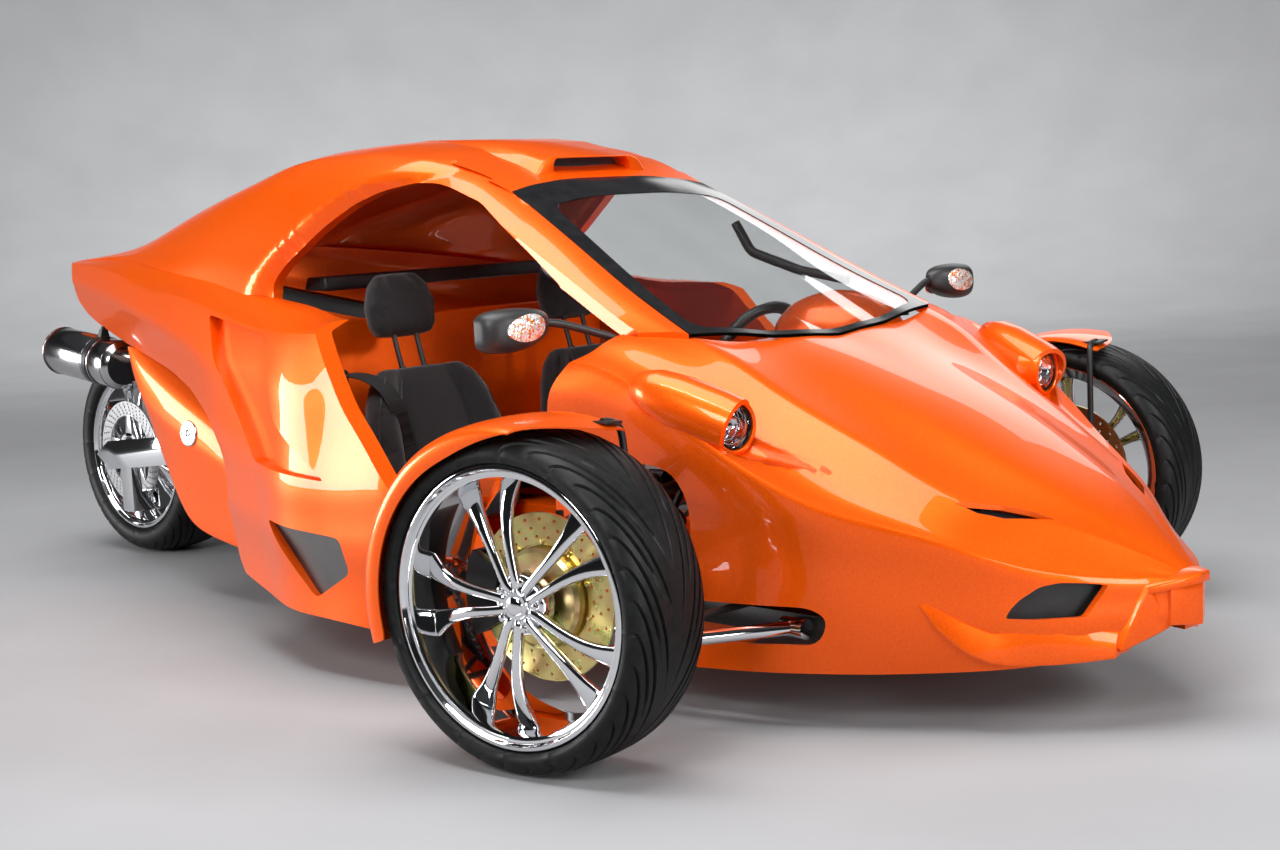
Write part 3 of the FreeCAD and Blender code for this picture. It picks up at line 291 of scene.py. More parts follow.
def valueAt(spots, values, x):  # a smooth curve through the values, with no overshoot
    n = len(spots)
    if x <= min(spots[0], spots[-1]) or x >= max(spots[0], spots[-1]):
        return values[0] if abs(x - spots[0]) < abs(x - spots[-1]) else values[-1]
    slopes = [(values[i + 1] - values[i]) / (spots[i + 1] - spots[i]) for i in range(n - 1)]
    lean = [slopes[0]]
    for i in range(1, n - 1):
        a, b = slopes[i - 1], slopes[i]
        lean.append(0 if a * b <= 0 else 2 * a * b / (a + b))
    lean.append(slopes[-1])
    i = next(k for k in range(n - 1) if min(spots[k], spots[k + 1]) <= x <= max(spots[k], spots[k + 1]))
    h = spots[i + 1] - spots[i]
    t = (x - spots[i]) / h
    return ((2 * t ** 3 - 3 * t ** 2 + 1) * values[i] + (t ** 3 - 2 * t ** 2 + t) * h * lean[i]
            + (-2 * t ** 3 + 3 * t ** 2) * values[i + 1] + (t ** 3 - t ** 2) * h * lean[i + 1])


def lineAt(line, x):  # the same curve through points of (spot, value)
    return valueAt([p[0] for p in line], [p[1] for p in line], x)


def stationRows(stations, crowns, steps=4):
    # rows along the car from the sections, with a row between each two that swells by its crown
    spots = [x for x, row in stations]
    places = []
    for a, b in zip(spots, spots[1:]):
        places += [a + (b - a) * k / steps for k in range(steps)]
    places.append(spots[-1])
    keys = []
    for i in range(len(stations[0][1])):
        ys = [row[i][0] for x, row in stations]
        zs = [row[i][1] for x, row in stations]
        keys.append([(x, valueAt(spots, ys, x), valueAt(spots, zs, x)) for x in places])
    rows = [keys[0]]
    for crown, low, high in zip(crowns, keys, keys[1:]):
        middle = []
        for a, b in zip(low, high):
            dy, dz = b[1] - a[1], b[2] - a[2]
            middle.append((a[0], (a[1] + b[1]) / 2 - crown * dz, (a[2] + b[2]) / 2 + crown * dy))
        rows += [middle, high]
    return rows


def wholeRows(rows, sharp, ahead=0):  # rows over both sides, and which of them are how sharp
    other = [[(x, -y, z) for x, y, z in row] for row in rows[:0:-1]]
    middle = len(other) + ahead
    weights = {middle + 2 * i * side: weight for i, weight in sharp.items() for side in (1, -1)}
    return other + rows, weights


def softGrid(name, rows, weights, levels=2):
    piece = gridPiece(name, rows)
    creaseRows(piece, len(rows[0]), weights)
    return soften(piece, levels)


def upperShell(name, stations, shell, wall, offset=-1.0):  # over both sides, with its outer face up
    rows = stationRows(stations, shell['crowns'])
    piece = softGrid(name, *wholeRows(rows, shell['sharp']))
    turnUp(piece)
    thicken(piece, wall, offset)
    return piece


# finishes


def shaderOf(material):
    return material.node_tree.nodes['Principled BSDF']


def newFinish(name, colour, metallic=0.0, roughness=0.5, coat=0.0, coatRough=0.03, specular=0.5, **more):
    material = bpy.data.materials.new(name)
    material.use_nodes = True
    values = {'Base Color': (*colour, 1), 'Metallic': metallic, 'Roughness': roughness, 'Coat Weight': coat,
              'Coat Roughness': coatRough, 'Specular IOR Level': specular}
    values.update({key.replace('_', ' '): value for key, value in more.items()})
    for entry, value in values.items():
        shaderOf(material).inputs[entry].default_value = value
    material.diffuse_color = (*colour, 1)
    return material


def addNode(material, kind, **values):
    node = material.node_tree.nodes.new('ShaderNode' + kind)
    for key, value in values.items():
        if hasattr(node, key):
            setattr(node, key, value)
        else:
            node.inputs[key.replace('_', ' ')].default_value = value
    return node


def wire(material, source, output, target, entry):
    material.node_tree.links.new(source.outputs[output], target.inputs[entry])


def dress(material, kind, scale, tints=None, bump=None, shine=None, by='Fac', bumpBy=None,
          stretch=(1, 1, 1), **values):
    # a texture that may give tints as (place, colour), a bump as (strength, distance) and a range of shine
    texture = addNode(material, 'Tex' + kind, Scale=scale, **values)
    mapping = addNode(material, 'Mapping', Scale=stretch)
    wire(material, addNode(material, 'TexCoord'), 'Object', mapping, 'Vector')
    wire(material, mapping, 'Vector', texture, 'Vector')
    if tints:
        ramp = addNode(material, 'ValToRGB')
        stops = ramp.color_ramp.elements
        for stop, (place, colour) in zip(stops, (tints[0], tints[-1])):
            stop.position = place
            stop.color = (*colour, 1)
        for place, colour in tints[1:-1]:
            stops.new(place).color = (*colour, 1)
        wire(material, texture, by, ramp, 'Fac')
        wire(material, ramp, 'Color', shaderOf(material), 'Base Color')
    if bump:
        relief = addNode(material, 'Bump', Strength=bump[0], Distance=bump[1])
        wire(material, texture, bumpBy or by, relief, 'Height')
        wire(material, relief, 'Normal', shaderOf(material), 'Normal')
    if shine:
        spread = addNode(material, 'MapRange', To_Min=shine[0], To_Max=shine[1])
        wire(material, texture, by, spread, 'Value')
        wire(material, spread, 'Result', shaderOf(material), 'Roughness')
    return material


def times(colour, share):
    return tuple(c * share for c in colour)


paint = {'colour': (0.88, 0.098, 0.0008), 'deep': (0.76, 0.066, 0.0004), 'bright': (0.97, 0.145, 0.0015),
         'flakeScale': 900.0, 'metallic': 0.50, 'roughness': 0.36, 'coat': 0.45}


def orangeLacquer():
    material = newFinish('orangeLacquer', paint['colour'], paint['metallic'], paint['roughness'],
                         paint['coat'], 0.015, 0.15)
    tints = ((0.0, paint['deep']), (0.5, paint['colour']), (1.0, paint['bright']))
    return dress(material, 'Voronoi', paint['flakeScale'], tints, (0.05, 0.0004),
                 by='Color', bumpBy='Distance')


def chromePlate(name, colour=(0.74, 0.75, 0.77), roughness=0.035):
    material = newFinish(name, colour, 1.0, roughness)
    return dress(material, 'Noise', 9.0, shine=(roughness * 0.7, roughness * 2.0), Detail=4.0)


def tyreRubber():
    material = newFinish('tyreRubber', (0.0035, 0.0038, 0.004), roughness=0.5, specular=0.22)
    tints = ((0.35, (0.0025, 0.0027, 0.0028)), (0.7, (0.007, 0.0075, 0.0078)))
    return dress(material, 'Noise', 60.0, tints, (0.15, 0.0006), Detail=6.0)


def grainPlastic(name, colour=(0.012, 0.012, 0.013), roughness=0.45, scale=700.0, strength=0.25):
    material = newFinish(name, colour, roughness=roughness)
    dress(material, 'Voronoi', scale, bump=(strength, 0.0004), by='Distance')
    return dress(material, 'Noise', 25.0, ((0.3, times(colour, 0.7)), (0.75, times(colour, 1.4))))


def brushedMetal(name, colour, roughness, stretch, scale=60.0):
    material = newFinish(name, colour, 1.0, roughness)
    tints = ((0.3, times(colour, 0.8)), (0.7, colour))
    return dress(material, 'Noise', scale, tints, (0.08, 0.0003), stretch=stretch, Detail=3.0)


def clearGlass(name, colour=(0.93, 0.96, 0.95)):
    material = newFinish(name, colour, roughness=0.0, Transmission_Weight=1.0, IOR=1.45)
    return dress(material, 'Noise', 3.0, ((0.3, times(colour, 0.985)), (0.7, colour)))


def meshCloth():
    material = newFinish('seatCloth', (0.010, 0.010, 0.011), roughness=0.9, specular=0.2,
                         Sheen_Weight=0.25, Sheen_Roughness=0.5)
    tints = ((0.0, (0.004, 0.004, 0.004)), (0.6, (0.020, 0.020, 0.022)))
    return dress(material, 'Voronoi', 420.0, tints, (0.6, 0.0008), by='Distance')


def webbing():
    material = newFinish('beltWebbing', (0.012, 0.012, 0.013), roughness=0.75, specular=0.3)
    tints = ((0.0, (0.006, 0.006, 0.006)), (1.0, (0.022, 0.022, 0.023)))
    return dress(material, 'Wave', 260.0, tints, (0.5, 0.0006))


def zincPlate():
    material = newFinish('yellowZinc', (0.62, 0.50, 0.20), 1.0, 0.28)
    tints = ((0.3, (0.48, 0.56, 0.20)), (0.5, (0.72, 0.60, 0.24)), (0.72, (0.66, 0.40, 0.24)))
    return dress(material, 'Noise', 14.0, tints, shine=(0.2, 0.36), Detail=3.0)


def castMetal(name, colour, roughness, metallic):
    material = newFinish(name, colour, metallic, roughness)
    tints = ((0.3, times(colour, 0.7)), (0.7, colour))
    return dress(material, 'Noise', 220.0, tints, (0.35, 0.0008), Detail=6.0)


def facetLens(name):  # clear cover over silver facets with an amber middle
    material = newFinish(name, (0.8, 0.8, 0.8), 0.5, 0.12, 1.0, 0.0)
    tints = ((0.25, (0.85, 0.20, 0.02)), (0.5, (0.75, 0.74, 0.72)), (0.8, (0.95, 0.95, 0.95)))
    return dress(material, 'Voronoi', 190.0, tints, (0.8, 0.002), by='Color', bumpBy='Distance', feature='F1')


orange = orangeLacquer()
chrome = chromePlate('wheelChrome')
rubber = tyreRubber()
blackPlastic = grainPlastic('blackPlastic')
glossBlack = grainPlastic('blackGloss', (0.010, 0.010, 0.011), 0.12, 300.0, 0.03)
satinBlack = castMetal('satinBlack', (0.018, 0.018, 0.019), 0.42, 0.3)
screenGlass = clearGlass('screenGlass')
lampGlass = clearGlass('lampGlass', (0.97, 0.97, 0.98))
seatCloth = meshCloth()
beltWebbing = webbing()
zinc = zincPlate()
castSteel = castMetal('castSteel', (0.34, 0.34, 0.35), 0.4, 1.0)
engineMetal = castMetal('engineMetal', (0.10, 0.10, 0.11), 0.5, 0.9)
discSteel = brushedMetal('discSteel', (0.66, 0.66, 0.67), 0.25, (1, 30, 1))
mufflerSteel = brushedMetal('mufflerSteel', (0.50, 0.50, 0.52), 0.16, (1, 12, 12))
pipeSteel = brushedMetal('pipeSteel', (0.56, 0.48, 0.41), 0.16, (4, 4, 1))
capAlloy = brushedMetal('capAlloy', (0.78, 0.78, 0.79), 0.22, (1, 1, 1), 200.0)
mirrorFace = chromePlate('mirrorFace', (0.90, 0.91, 0.92), 0.01)
redLens = grainPlastic('redLens', (0.35, 0.006, 0.004), 0.10, 120.0, 0.3)
signalLens = facetLens('signalLens')
print('finishes ready')


# front body from the nose back: centre, bulge edge, ridge, valley, shoulder, under it, side, low edge

frontShell = {'wall': 0.009, 'crowns': (0.03, -0.05, 0.0, -0.10, 0.06, -0.06, 0.05),
              'sharp': {1: 0.35, 2: 0.85, 4: 0.45, 5: 0.0}}
frontStations = mm((
    (1979, ((0, 302), (10, 302), (19, 301), (29, 299), (38, 296), (44, 272), (46, 238), (44, 221))),
    (1926, ((0, 346), (28, 343), (60, 335), (86, 321), (120, 304), (126, 282), (126, 233), (116, 196))),
    (1805, ((0, 432), (88, 424), (165, 401), (205, 364), (250, 328), (254, 300), (260, 229), (235, 140))),
    (1656, ((0, 516), (128, 506), (300, 455), (345, 420), (396, 396), (392, 350), (385, 241), (340, 125))),
    (1476, ((0, 610), (160, 596), (350, 556), (430, 494), (530, 468), (524, 412), (500, 280), (455, 120))),
    (1294, ((0, 684), (170, 676), (385, 655), (480, 600), (615, 582), (600, 490), (545, 300), (545, 120))),
    (1125, ((0, 745), (170, 749), (410, 755), (512, 719), (645, 689), (630, 580), (560, 330), (585, 120))),
    (970, ((0, 794), (170, 800), (420, 800), (544, 784), (645, 744), (655, 660), (588, 372), (600, 120))),
    (824, ((0, 800), (170, 806), (420, 806), (552, 790), (650, 744), (665, 660), (608, 397), (616, 120))),
))
cowlLine = mm([(1125, 0), (1105, 200), (1063, 425), (984, 505)])
doorEdge = mm([(970, 900), (940, 756), (886, 701), (855, 632), (833, 496), (819, 248), (819, 30),
               (500, 30), (500, 900)])
armHole = mm([(900, 546), (1164, 533), (1192, 471), (1159, 305), (900, 274)])
armSlot = mm([(872, 254), (1434, 260), (1468, 236), (1440, 181), (872, 171)])
grilleHole = mm([(162, 294), (196, 300), (231, 303), (258, 297), (285, 273), (299, 254), (306, 237),
                 (267, 233), (196, 234), (178, 264)])
hoodSlot = mm([(1783, 168), (1742, 196), (1700, 235), (1643, 312), (1684, 291), (1722, 257), (1757, 212)])


def frontBody():
    piece = upperShell('frontBody', frontStations, frontShell, frontShell['wall'])
    rearLine = cowlLine + [(0.400, 0.505)]
    rearLine = [(x, -y) for x, y in rearLine[:0:-1]] + rearLine
    cutPrism(piece, rearLine, 'z', 0.35, 1.30)
    for outline, radius in ((doorEdge, 0.05), (armHole, 0.05), (armSlot, 0.03)):
        cutPrism(piece, rounded(outline, radius), 'y', -1.0, 1.0)
    cutBothSides(piece, rounded(grilleHole, 0.006, 2), 'x', 1.66, 2.05)
    cutBothSides(piece, rounded(hoodSlot, 0.004, 2), 'z', 0.30, 0.75)
    smooth(piece)
    onChassis(piece, orange, 'front_body')
    return piece


# roof with its pillars: centre, half way, rail edge, outside the rail, half way down, belt

roofShell = {'wall': 0.028, 'crowns': (0.02, 0.03, 0.08, 0.03, 0.05), 'sharp': {2: 0.55, 3: 0.25},
             'above': (0.3, 1.4)}
screenShell = {'wall': 0.006, 'border': 0.0016, 'crowns': roofShell['crowns'][:2], 'sharp': {},
               'above': (0.6, 1.4)}
roofStations = mm((
    (1153, ((0, 737), (200, 740), (432, 746), (472, 740), (552, 732), (624, 725))),
    (875, ((0, 877), (200, 878), (400, 870), (472, 848), (552, 800), (664, 740))),
    (625, ((0, 1009), (200, 1011), (362, 1002), (440, 967), (552, 880), (704, 760))),
    (425, ((0, 1116), (200, 1114), (332, 1101), (420, 1063), (544, 950), (720, 800))),
    (276, ((0, 1168), (200, 1171), (355, 1159), (430, 1116), (552, 986), (735, 825))),
    (125, ((0, 1214), (200, 1216), (370, 1193), (450, 1138), (550, 985), (660, 816))),
    (-75, ((0, 1238), (200, 1236), (378, 1208), (460, 1140), (545, 1000), (602, 840))),
    (-274, ((0, 1234), (200, 1231), (378, 1203), (460, 1128), (522, 985), (566, 857))),
    (-575, ((0, 1178), (200, 1172), (360, 1148), (440, 1089), (484, 985), (506, 897))),
    (-876, ((0, 1106), (200, 1100), (330, 1083), (400, 1032), (436, 968), (456, 928))),
    (-1275, ((0, 1002), (184, 999), (280, 988), (330, 968), (342, 966), (348, 957))),
    (-1705, ((0, 951), (120, 951), (192, 950), (232, 949), (240, 949), (240, 948))),
))
openingBand = {'heights': mm([863, 938, 1025, 1075, 1111, 1150, 1200]),
               'outer': mm([-362, -300, -180, -105, -40, 60, 200]),
               'inner': mm([-280, -240, -110, -30, 50, 250, 400]), 'depth': 0.040}
rearOpening = mm([(720, 885), (650, 930), (572, 980), (504, 1020), (392, 1080), (330, 1102), (290, 1116),
                  (240, 1128), (175, 1132), (75, 1116), (0, 1090), (-90, 1037), (-175, 981), (-238, 942),
                  (-272, 900), (-275, 860), (-100, 600), (720, 600)])
sideOpening = mm([(1097, 512), (993, 500), (726, 460), (524, 432), (324, 430), (170, 450), (-24, 500),
                  (-125, 560), (-95, 620), (26, 700), (136, 752), (136, 960), (1097, 960)])
screenEdge = mm([(1125, 0), (1105, 200), (1063, 425), (431, 331), (411, 160), (406, 0)])
clearArea = mm([(1109, 0), (1090, 200), (1046, 386), (520, 288), (502, 160), (497, 0)])


def wholeOutline(half):  # the other side's points added to an outline that starts and ends on the centre line
    return half + [(x, -y) for x, y in half[-2:0:-1]]


def pressBand(piece):  # a band set back behind the side opening, fading out towards the front pillar
    for vertex in piece.data.vertices:
        x, y, z = vertex.co
        if abs(y) > 0.34 and 0.80 < z < 1.19 and -0.5 < x < 0.60:
            outer = valueAt(openingBand['heights'], openingBand['outer'], z)
            inner = valueAt(openingBand['heights'], openingBand['inner'], z)
            share = min(1, max(0, (x - outer) / (inner - outer))) * min(1, max(0, (0.54 - x) / 0.34))
            vertex.co.y -= math.copysign(openingBand['depth'] * share, y)


def roofBody():
    piece = upperShell('roofBody', roofStations, roofShell, roofShell['wall'])
    ahead = [(1.400, 0.0), (1.400, 0.9), (0.9826, 0.9)] + [(x - 0.0015, y) for x, y in cowlLine[::-1]]
    cutPrism(piece, wholeOutline(ahead), 'z', *roofShell['above'])
    cutBothSides(piece, rounded(sideOpening, 0.06), 'z', *roofShell['above'])
    for reach in ((0.370, 1.2), (-1.2, -0.370)):
        cutPrism(piece, rounded(rearOpening, 0.02), 'y', *reach)
    cutPrism(piece, wholeOutline(screenEdge), 'z', *screenShell['above'])
    pressBand(piece)
    smooth(piece)
    onChassis(piece, orange, 'roof_shell')


def screenPiece(name, wall, offset, edge):  # the part of the roof's surface inside an edge line
    stations = [(x, row[:3]) for x, row in roofStations[:5]]
    piece = upperShell(name, stations, screenShell, wall, offset)
    cutPrism(piece, wholeOutline(edge), 'z', *screenShell['above'], 'INTERSECT')
    return piece


def windscreen():
    edge = [(x * 0.9994, y * 0.997) for x, y in screenEdge]
    piece = screenPiece('screen', screenShell['wall'], -1.0, edge)
    onChassis(smooth(piece, 30), screenGlass, 'windscreen')


def screenBorder():  # the dark border round the clear area
    piece = screenPiece('screenBorder', screenShell['border'], 1.0, [(x, y * 0.997) for x, y in screenEdge])
    cutPrism(piece, rounded(wholeOutline(clearArea), 0.045, 6), 'z', *screenShell['above'])
    onChassis(smooth(piece, 30), glossBlack)


# side panels: lower edge, low, middle, upper, belt, ledge

sideShell = {'wall': 0.046, 'recess': 0.028, 'lift': 0.05, 'crowns': (0.05, 0.03, 0.03, -0.01, 0.0),
             'sharp': {1: 0.3, 3: 0.35, 4: 0.85}}
sideStations = mm((
    (875, ((632, 120), (640, 300), (640, 450), (632, 650), (620, 795), (605, 803))),
    (675, ((690, 120), (700, 300), (710, 450), (700, 650), (680, 795), (662, 804))),
    (476, ((760, 130), (790, 320), (790, 470), (760, 650), (722, 795), (700, 808))),
    (276, ((790, 145), (800, 320), (800, 450), (775, 650), (742, 800), (715, 824))),
    (125, ((792, 150), (812, 320), (812, 450), (790, 660), (746, 798), (655, 820))),
    (-75, ((740, 170), (755, 340), (760, 500), (745, 690), (712, 804), (596, 844))),
    (-325, ((660, 200), (680, 370), (690, 529), (690, 710), (655, 834), (552, 867))),
    (-575, ((560, 250), (580, 450), (600, 600), (614, 760), (590, 864), (500, 902))),
    (-876, ((450, 300), (480, 551), (500, 690), (522, 800), (505, 882), (450, 932))),
    (-1275, ((330, 401), (360, 600), (380, 740), (400, 850), (390, 926), (342, 960))),
    (-1705, ((224, 500), (240, 701), (252, 820), (268, 890), (264, 944), (232, 951))),
))
sideOutline = mm([(136, 992), (170, 830), (324, 620), (476, 465), (625, 360), (810, 330), (816, 50),
                  (-70, 50), (-153, 126), (-277, 223), (-302, 333), (-279, 415), (-297, 490), (-395, 573),
                  (-540, 628), (-713, 662), (-940, 687), (-1170, 714), (-1500, 765), (-1600, 788),
                  (-1699, 830), (-1699, 1116), (-280, 1116)])
sideRecess = mm([(-385, 828), (-10, 786), (62, 592), (262, 466), (-55, 490), (-310, 720)])
sideVent = mm([(15, 360), (304, 340), (324, 260), (195, 190)])


def sidePanel():
    rows = stationRows(sideStations, sideShell['crowns'])
    left = softGrid('sidePanelLeft', rows, {2 * i: weight for i, weight in sideShell['sharp'].items()})
    turnLeft(left)
    pressed = moveMesh(copyOf(left, 'pressed'), Matrix.Translation((0, sideShell['lift'], 0)))
    for piece, depth in ((left, sideShell['wall']), (pressed, sideShell['recess'] + sideShell['lift'])):
        editAll(piece)
        bpy.ops.mesh.extrude_region_move(TRANSFORM_OT_translate={"value": (0, -depth, 0)})
        leaveFacing()
    cutPrism(pressed, rounded(sideRecess, 0.02), 'y', 0.05, 1.2, 'INTERSECT')
    cutPrism(left, rounded(sideOutline, 0.03), 'y', 0.05, 1.2, 'INTERSECT')
    cutAway(left, pressed)
    cutPrism(left, rounded(sideVent, 0.02), 'y', 0.4, 1.2)
    smooth(left)
    right = flipSide(copyOf(left, 'sidePanelRight'))
    onChassis(left, orange, 'side_panel_left')
    onChassis(right, orange, 'side_panel_right')


def hullPiece(name, points):  # the tight skin round a few corner points
    piece = loopPiece(name, points)
    editAll(piece)
    bpy.ops.mesh.convex_hull()
    leaveFacing()
    return piece


def ringsPiece(name, rings):  # closed rings of points joined into a closed skin
    rows = [list(ring) + [ring[0]] for ring in rings]
    for index, place in ((0, 0), (-1, len(rows) + 1)):
        ring = rings[index]
        middle = tuple(sum(p[k] for p in ring) / len(ring) for k in range(3))
        rows.insert(place, [middle] * len(rows[0]))
    return outward(gridPiece(name, rows))


def alongAxis(start, end):  # a frame whose Z runs from start to end
    way = (Vector(end) - Vector(start)).normalized()
    return Matrix.Translation(start) @ way.to_track_quat('Z', 'Y').to_matrix().to_4x4()


def turnedPiece(name, profile, start, end, steps=48):  # a profile of (radius, along) turned about a line
    piece = spunPiece(name, profile, steps)
    moveMesh(piece, Matrix.Rotation(math.radians(90), 4, 'X'))
    return moveMesh(piece, alongAxis(start, end))


def boltHead(name, place, way, size):
    piece = added(name, bpy.ops.mesh.primitive_cylinder_add, vertices=6, radius=size, depth=size * 1.1)
    easeEdges(piece, size * 0.16, 2, 40)
    return moveMesh(piece, alongAxis(place, Vector(place) + Vector(way)))


def bodyFill():  # the front body filled solid, to trim the lamp troughs and to carry the slot meshes
    rows, weights = wholeRows(stationRows(frontStations, frontShell['crowns']), frontShell['sharp'], 1)
    low = [(x, 0, 0.13) for x, y, z in rows[0]]
    rows = [low] + rows + [low]
    ends = [[row[k] for row in rows] for k in (0, -1)]
    middles = [tuple(sum(p[k] for p in end) / len(end) for k in range(3)) for end in ends]
    rows = [[middles[0]] + row + [middles[1]] for row in rows]
    piece = gridPiece('bodyFill', rows)
    creaseRows(piece, len(rows[0]), weights)
    outward(piece)
    return soften(piece, 2)


# headlamps with the pod behind them and the trough ahead of them

lamp = {'place': (1.300, 0.560, 0.618), 'front': (1.560, 0.380, 0.492), 'back': (1.125, 0.612, 0.688),
        'radius': 0.054, 'wall': 0.006, 'glassRadius': 0.047, 'aim': (0.988, 0.10, -0.03)}


def lampTrough(grow):
    length = (Vector(lamp['front']) - Vector(lamp['place'])).length
    wide = lamp['radius'] + grow
    profile = [(0, -0.012), (wide, -0.012), (wide, 0.0), (wide * 0.86, length * 0.25),
               (wide * 0.62, length * 0.55), (wide * 0.30, length * 0.82), (0, length * 0.98 + grow)]
    return turnedPiece('trough', profile, lamp['place'], lamp['front'], 64)


def lampPod():
    start, end = Vector(lamp['place']), Vector(lamp['back'])
    reach = (end - start).length + 0.05
    wide = lamp['radius'] + 0.005
    profile = [(wide - 0.010, -0.004), (wide, -0.001), (wide * 1.03, 0.03), (wide, reach * 0.5),
               (wide * 0.86, reach * 0.75), (wide * 0.55, reach * 0.93), (0, reach), (0, reach * 0.5),
               (wide - 0.010, 0.02)]
    return smooth(turnedPiece('lampPod', profile, start, end), 40)


def lampParts():
    start = Vector(lamp['place'])
    front = start + Vector(lamp['aim']).normalized() * 0.012
    r = lamp['glassRadius']
    profiles = {
        'lampBezel': [(r, 0.004), (r + 0.003, 0.006), (r + 0.009, 0.003), (r + 0.011, -0.010),
                      (r + 0.008, -0.05), (r, -0.05)],
        'lampRing': [(r - 0.006, -0.004), (r - 0.003, 0.001), (r, -0.003), (r, -0.045), (r - 0.003, -0.045)],
        'lampBowl': [(r - 0.004, -0.004), (r - 0.010, -0.018), (r - 0.022, -0.034), (0.014, -0.042),
                     (0, -0.043), (0, -0.047), (r - 0.004, -0.047)],
        'lampBulb': [(0, -0.012), (0.007, -0.014), (0.011, -0.020), (0.012, -0.030), (0.010, -0.042),
                     (0, -0.042)],
        'lampLens': [(0, 0.009), (r * 0.45, 0.007), (r * 0.8, 0.001), (r - 0.003, -0.006),
                     (r - 0.003, -0.009), (r * 0.8, -0.003), (r * 0.45, 0.003), (0, 0.005)]}
    parts = {}
    for name, profile in profiles.items():
        steps = 24 if name == 'lampBulb' else 56
        parts[name] = smooth(turnedPiece(name, profile, start, front, steps), 35)
    fins = []
    for k in range(3):
        ring = added('lampFin', bpy.ops.mesh.primitive_torus_add, major_radius=r - 0.012 - 0.008 * k,
                     minor_radius=0.0011, major_segments=48, minor_segments=6)
        depth = Matrix.Translation((0, 0, -0.012 - 0.009 * k))
        fins.append(moveMesh(ring, alongAxis(start, front) @ depth))
    parts['lampBowl'] = join('lampBowl', [parts['lampBowl'], parts['lampBulb']] + fins)
    return parts


def headlamps(body):
    fill = bodyFill()
    for side, word in sides:
        trough, inner = lampTrough(lamp['wall']), lampTrough(0)
        for piece in (trough, inner):
            outward(moveMesh(piece, Matrix.Diagonal((1, side, 1, 1))))
        cutAway(body, copyOf(inner, 'hole'))
        cutAway(trough, inner)
        cutAway(trough, copyOf(fill, 'keep'), 'INTERSECT')
        smooth(trough)
        onChassis(rename(trough, 'lampTrough' + word), orange)
    bpy.data.objects.remove(fill)
    pod = lampPod()
    parts = lampParts()
    pairOn(pod, orange)
    pairOn(parts['lampBezel'], orange)
    pairOn(parts['lampRing'], glossBlack)
    pairOn(parts['lampBowl'], chrome, 'headlamp_bowls')
    pairOn(parts['lampLens'], lampGlass, 'headlamp_lenses')


# beak, prow and lip under the nose

beak = {'back': 1.880, 'edge': 0.003, 'rows': mm((  # across, ahead, top, bottom
    (-108, 1946, 287, 270), (-60, 1985, 297, 278), (-18, 2010, 306, 284), (18, 2010, 306, 284),
    (60, 1985, 297, 278), (108, 1946, 287, 270)))}
# a row of the lip: x, then y and z on the body, at the outer edge, and at the bottom
lipRows = mm((
    (1600, (418.5, 292), (419, 290), (412, 286)),
    (1625, (405, 276), (408.5, 268), (398, 262)),
    (1655, (388, 256), (393, 223), (370, 214)),
    (1680, (368, 239), (375, 196), (346, 186)),
    (1705, (345, 222), (360, 175), (328, 165)),
    (1730, (322, 208), (335, 160), (300, 151)),
    (1755, (300, 208), (301, 151), (265, 144)),
    (1783, (275, 210), (274, 149), (238, 143)),
    (1820, (240, 210), (240, 149), (206, 144)),
    (1860, (195, 208), (205, 152), (176, 148)),
    (1905, (150, 200), (164, 158), (142, 155)),
))
prow = mm([(2004, 0, 284), (2004, 0, 199), (1974, 68, 284), (1972, 66, 205), (1974, -68, 284),
           (1972, -66, 205), (1860, 50, 290), (1860, -50, 290), (1860, 50, 200), (1860, -50, 200)])
fang = mm(((1946, 108, 285), (1950, 60, 285), (1880, 108, 288), (1968, 50, 200), (1912, 100, 176),
           (1915, 155, 163), (1905, 140, 158), (1850, 100, 170), (1860, 150, 200)))


def frontLip():
    back = beak['back']
    rings = [[(back, y * 0.9, top + 0.004), (x - 0.02, y, top + 0.002), (x, y, top - 0.002), (x, y, low),
              (x - 0.03, y, low - 0.004), (back, y * 0.9, low - 0.010)] for y, x, top, low in beak['rows']]
    pieces = [ringsPiece('beakPlate', rings), hullPiece('prow', prow)]
    for side, word in sides:
        pieces.append(hullPiece('fang', [(x, y * side, z) for x, y, z in fang]))
        rings = [[(x, side * (body[0] - 0.035), body[1]), (x, side * body[0], body[1]),
                  (x, side * edge[0], edge[1]), (x, side * (edge[0] - 0.002), edge[1] - 0.008),
                  (x, side * low[0], low[1]), (x, side * (low[0] - 0.035), low[1])]
                 for x, body, edge, low in lipRows]
        pieces.append(ringsPiece('lipSide', rings))
    for piece in pieces:
        smooth(easeEdges(piece, beak['edge'], 2, 25))
    onChassis(join('frontLip', pieces), orange, 'front_lip')


# wheels, made about their own axle with the outside at +Y, then set on the car

wheel = {'plane': 0.075, 'pin': (1.125, 0.880), 'centre': 0.326, 'parked': 8.0, 'pairs': 5,
         'spokeTurn': -19, 'nutTurn': 17}
tread = {'blocks': 32, 'columns': 6, 'steps': 17, 'depth': 0.0062, 'sweep': 5.2, 'width': 0.0092}
frontTyreRows = mm(((0, 326), (28, 325.7), (56, 324.5), (80, 321.3), (96, 316), (107, 306)))
frontWallRows = mm(((110.5, 299), (112.2, 292.5), (111.8, 286), (109, 280), (104.5, 276.2), (98.5, 274.5),
                    (94.5, 272.5), (92.5, 256), (70, 254.5), (0, 254.5)))
rearTyreRows = mm(((0, 330), (30, 329.2), (60, 326.5), (85, 321.2), (102, 314), (113, 303)))
rearWallRows = mm(((117.5, 293), (119.5, 283), (119, 273), (116, 264), (111, 257), (105, 252.5),
                   (100, 250), (96, 233), (70, 232), (0, 232)))


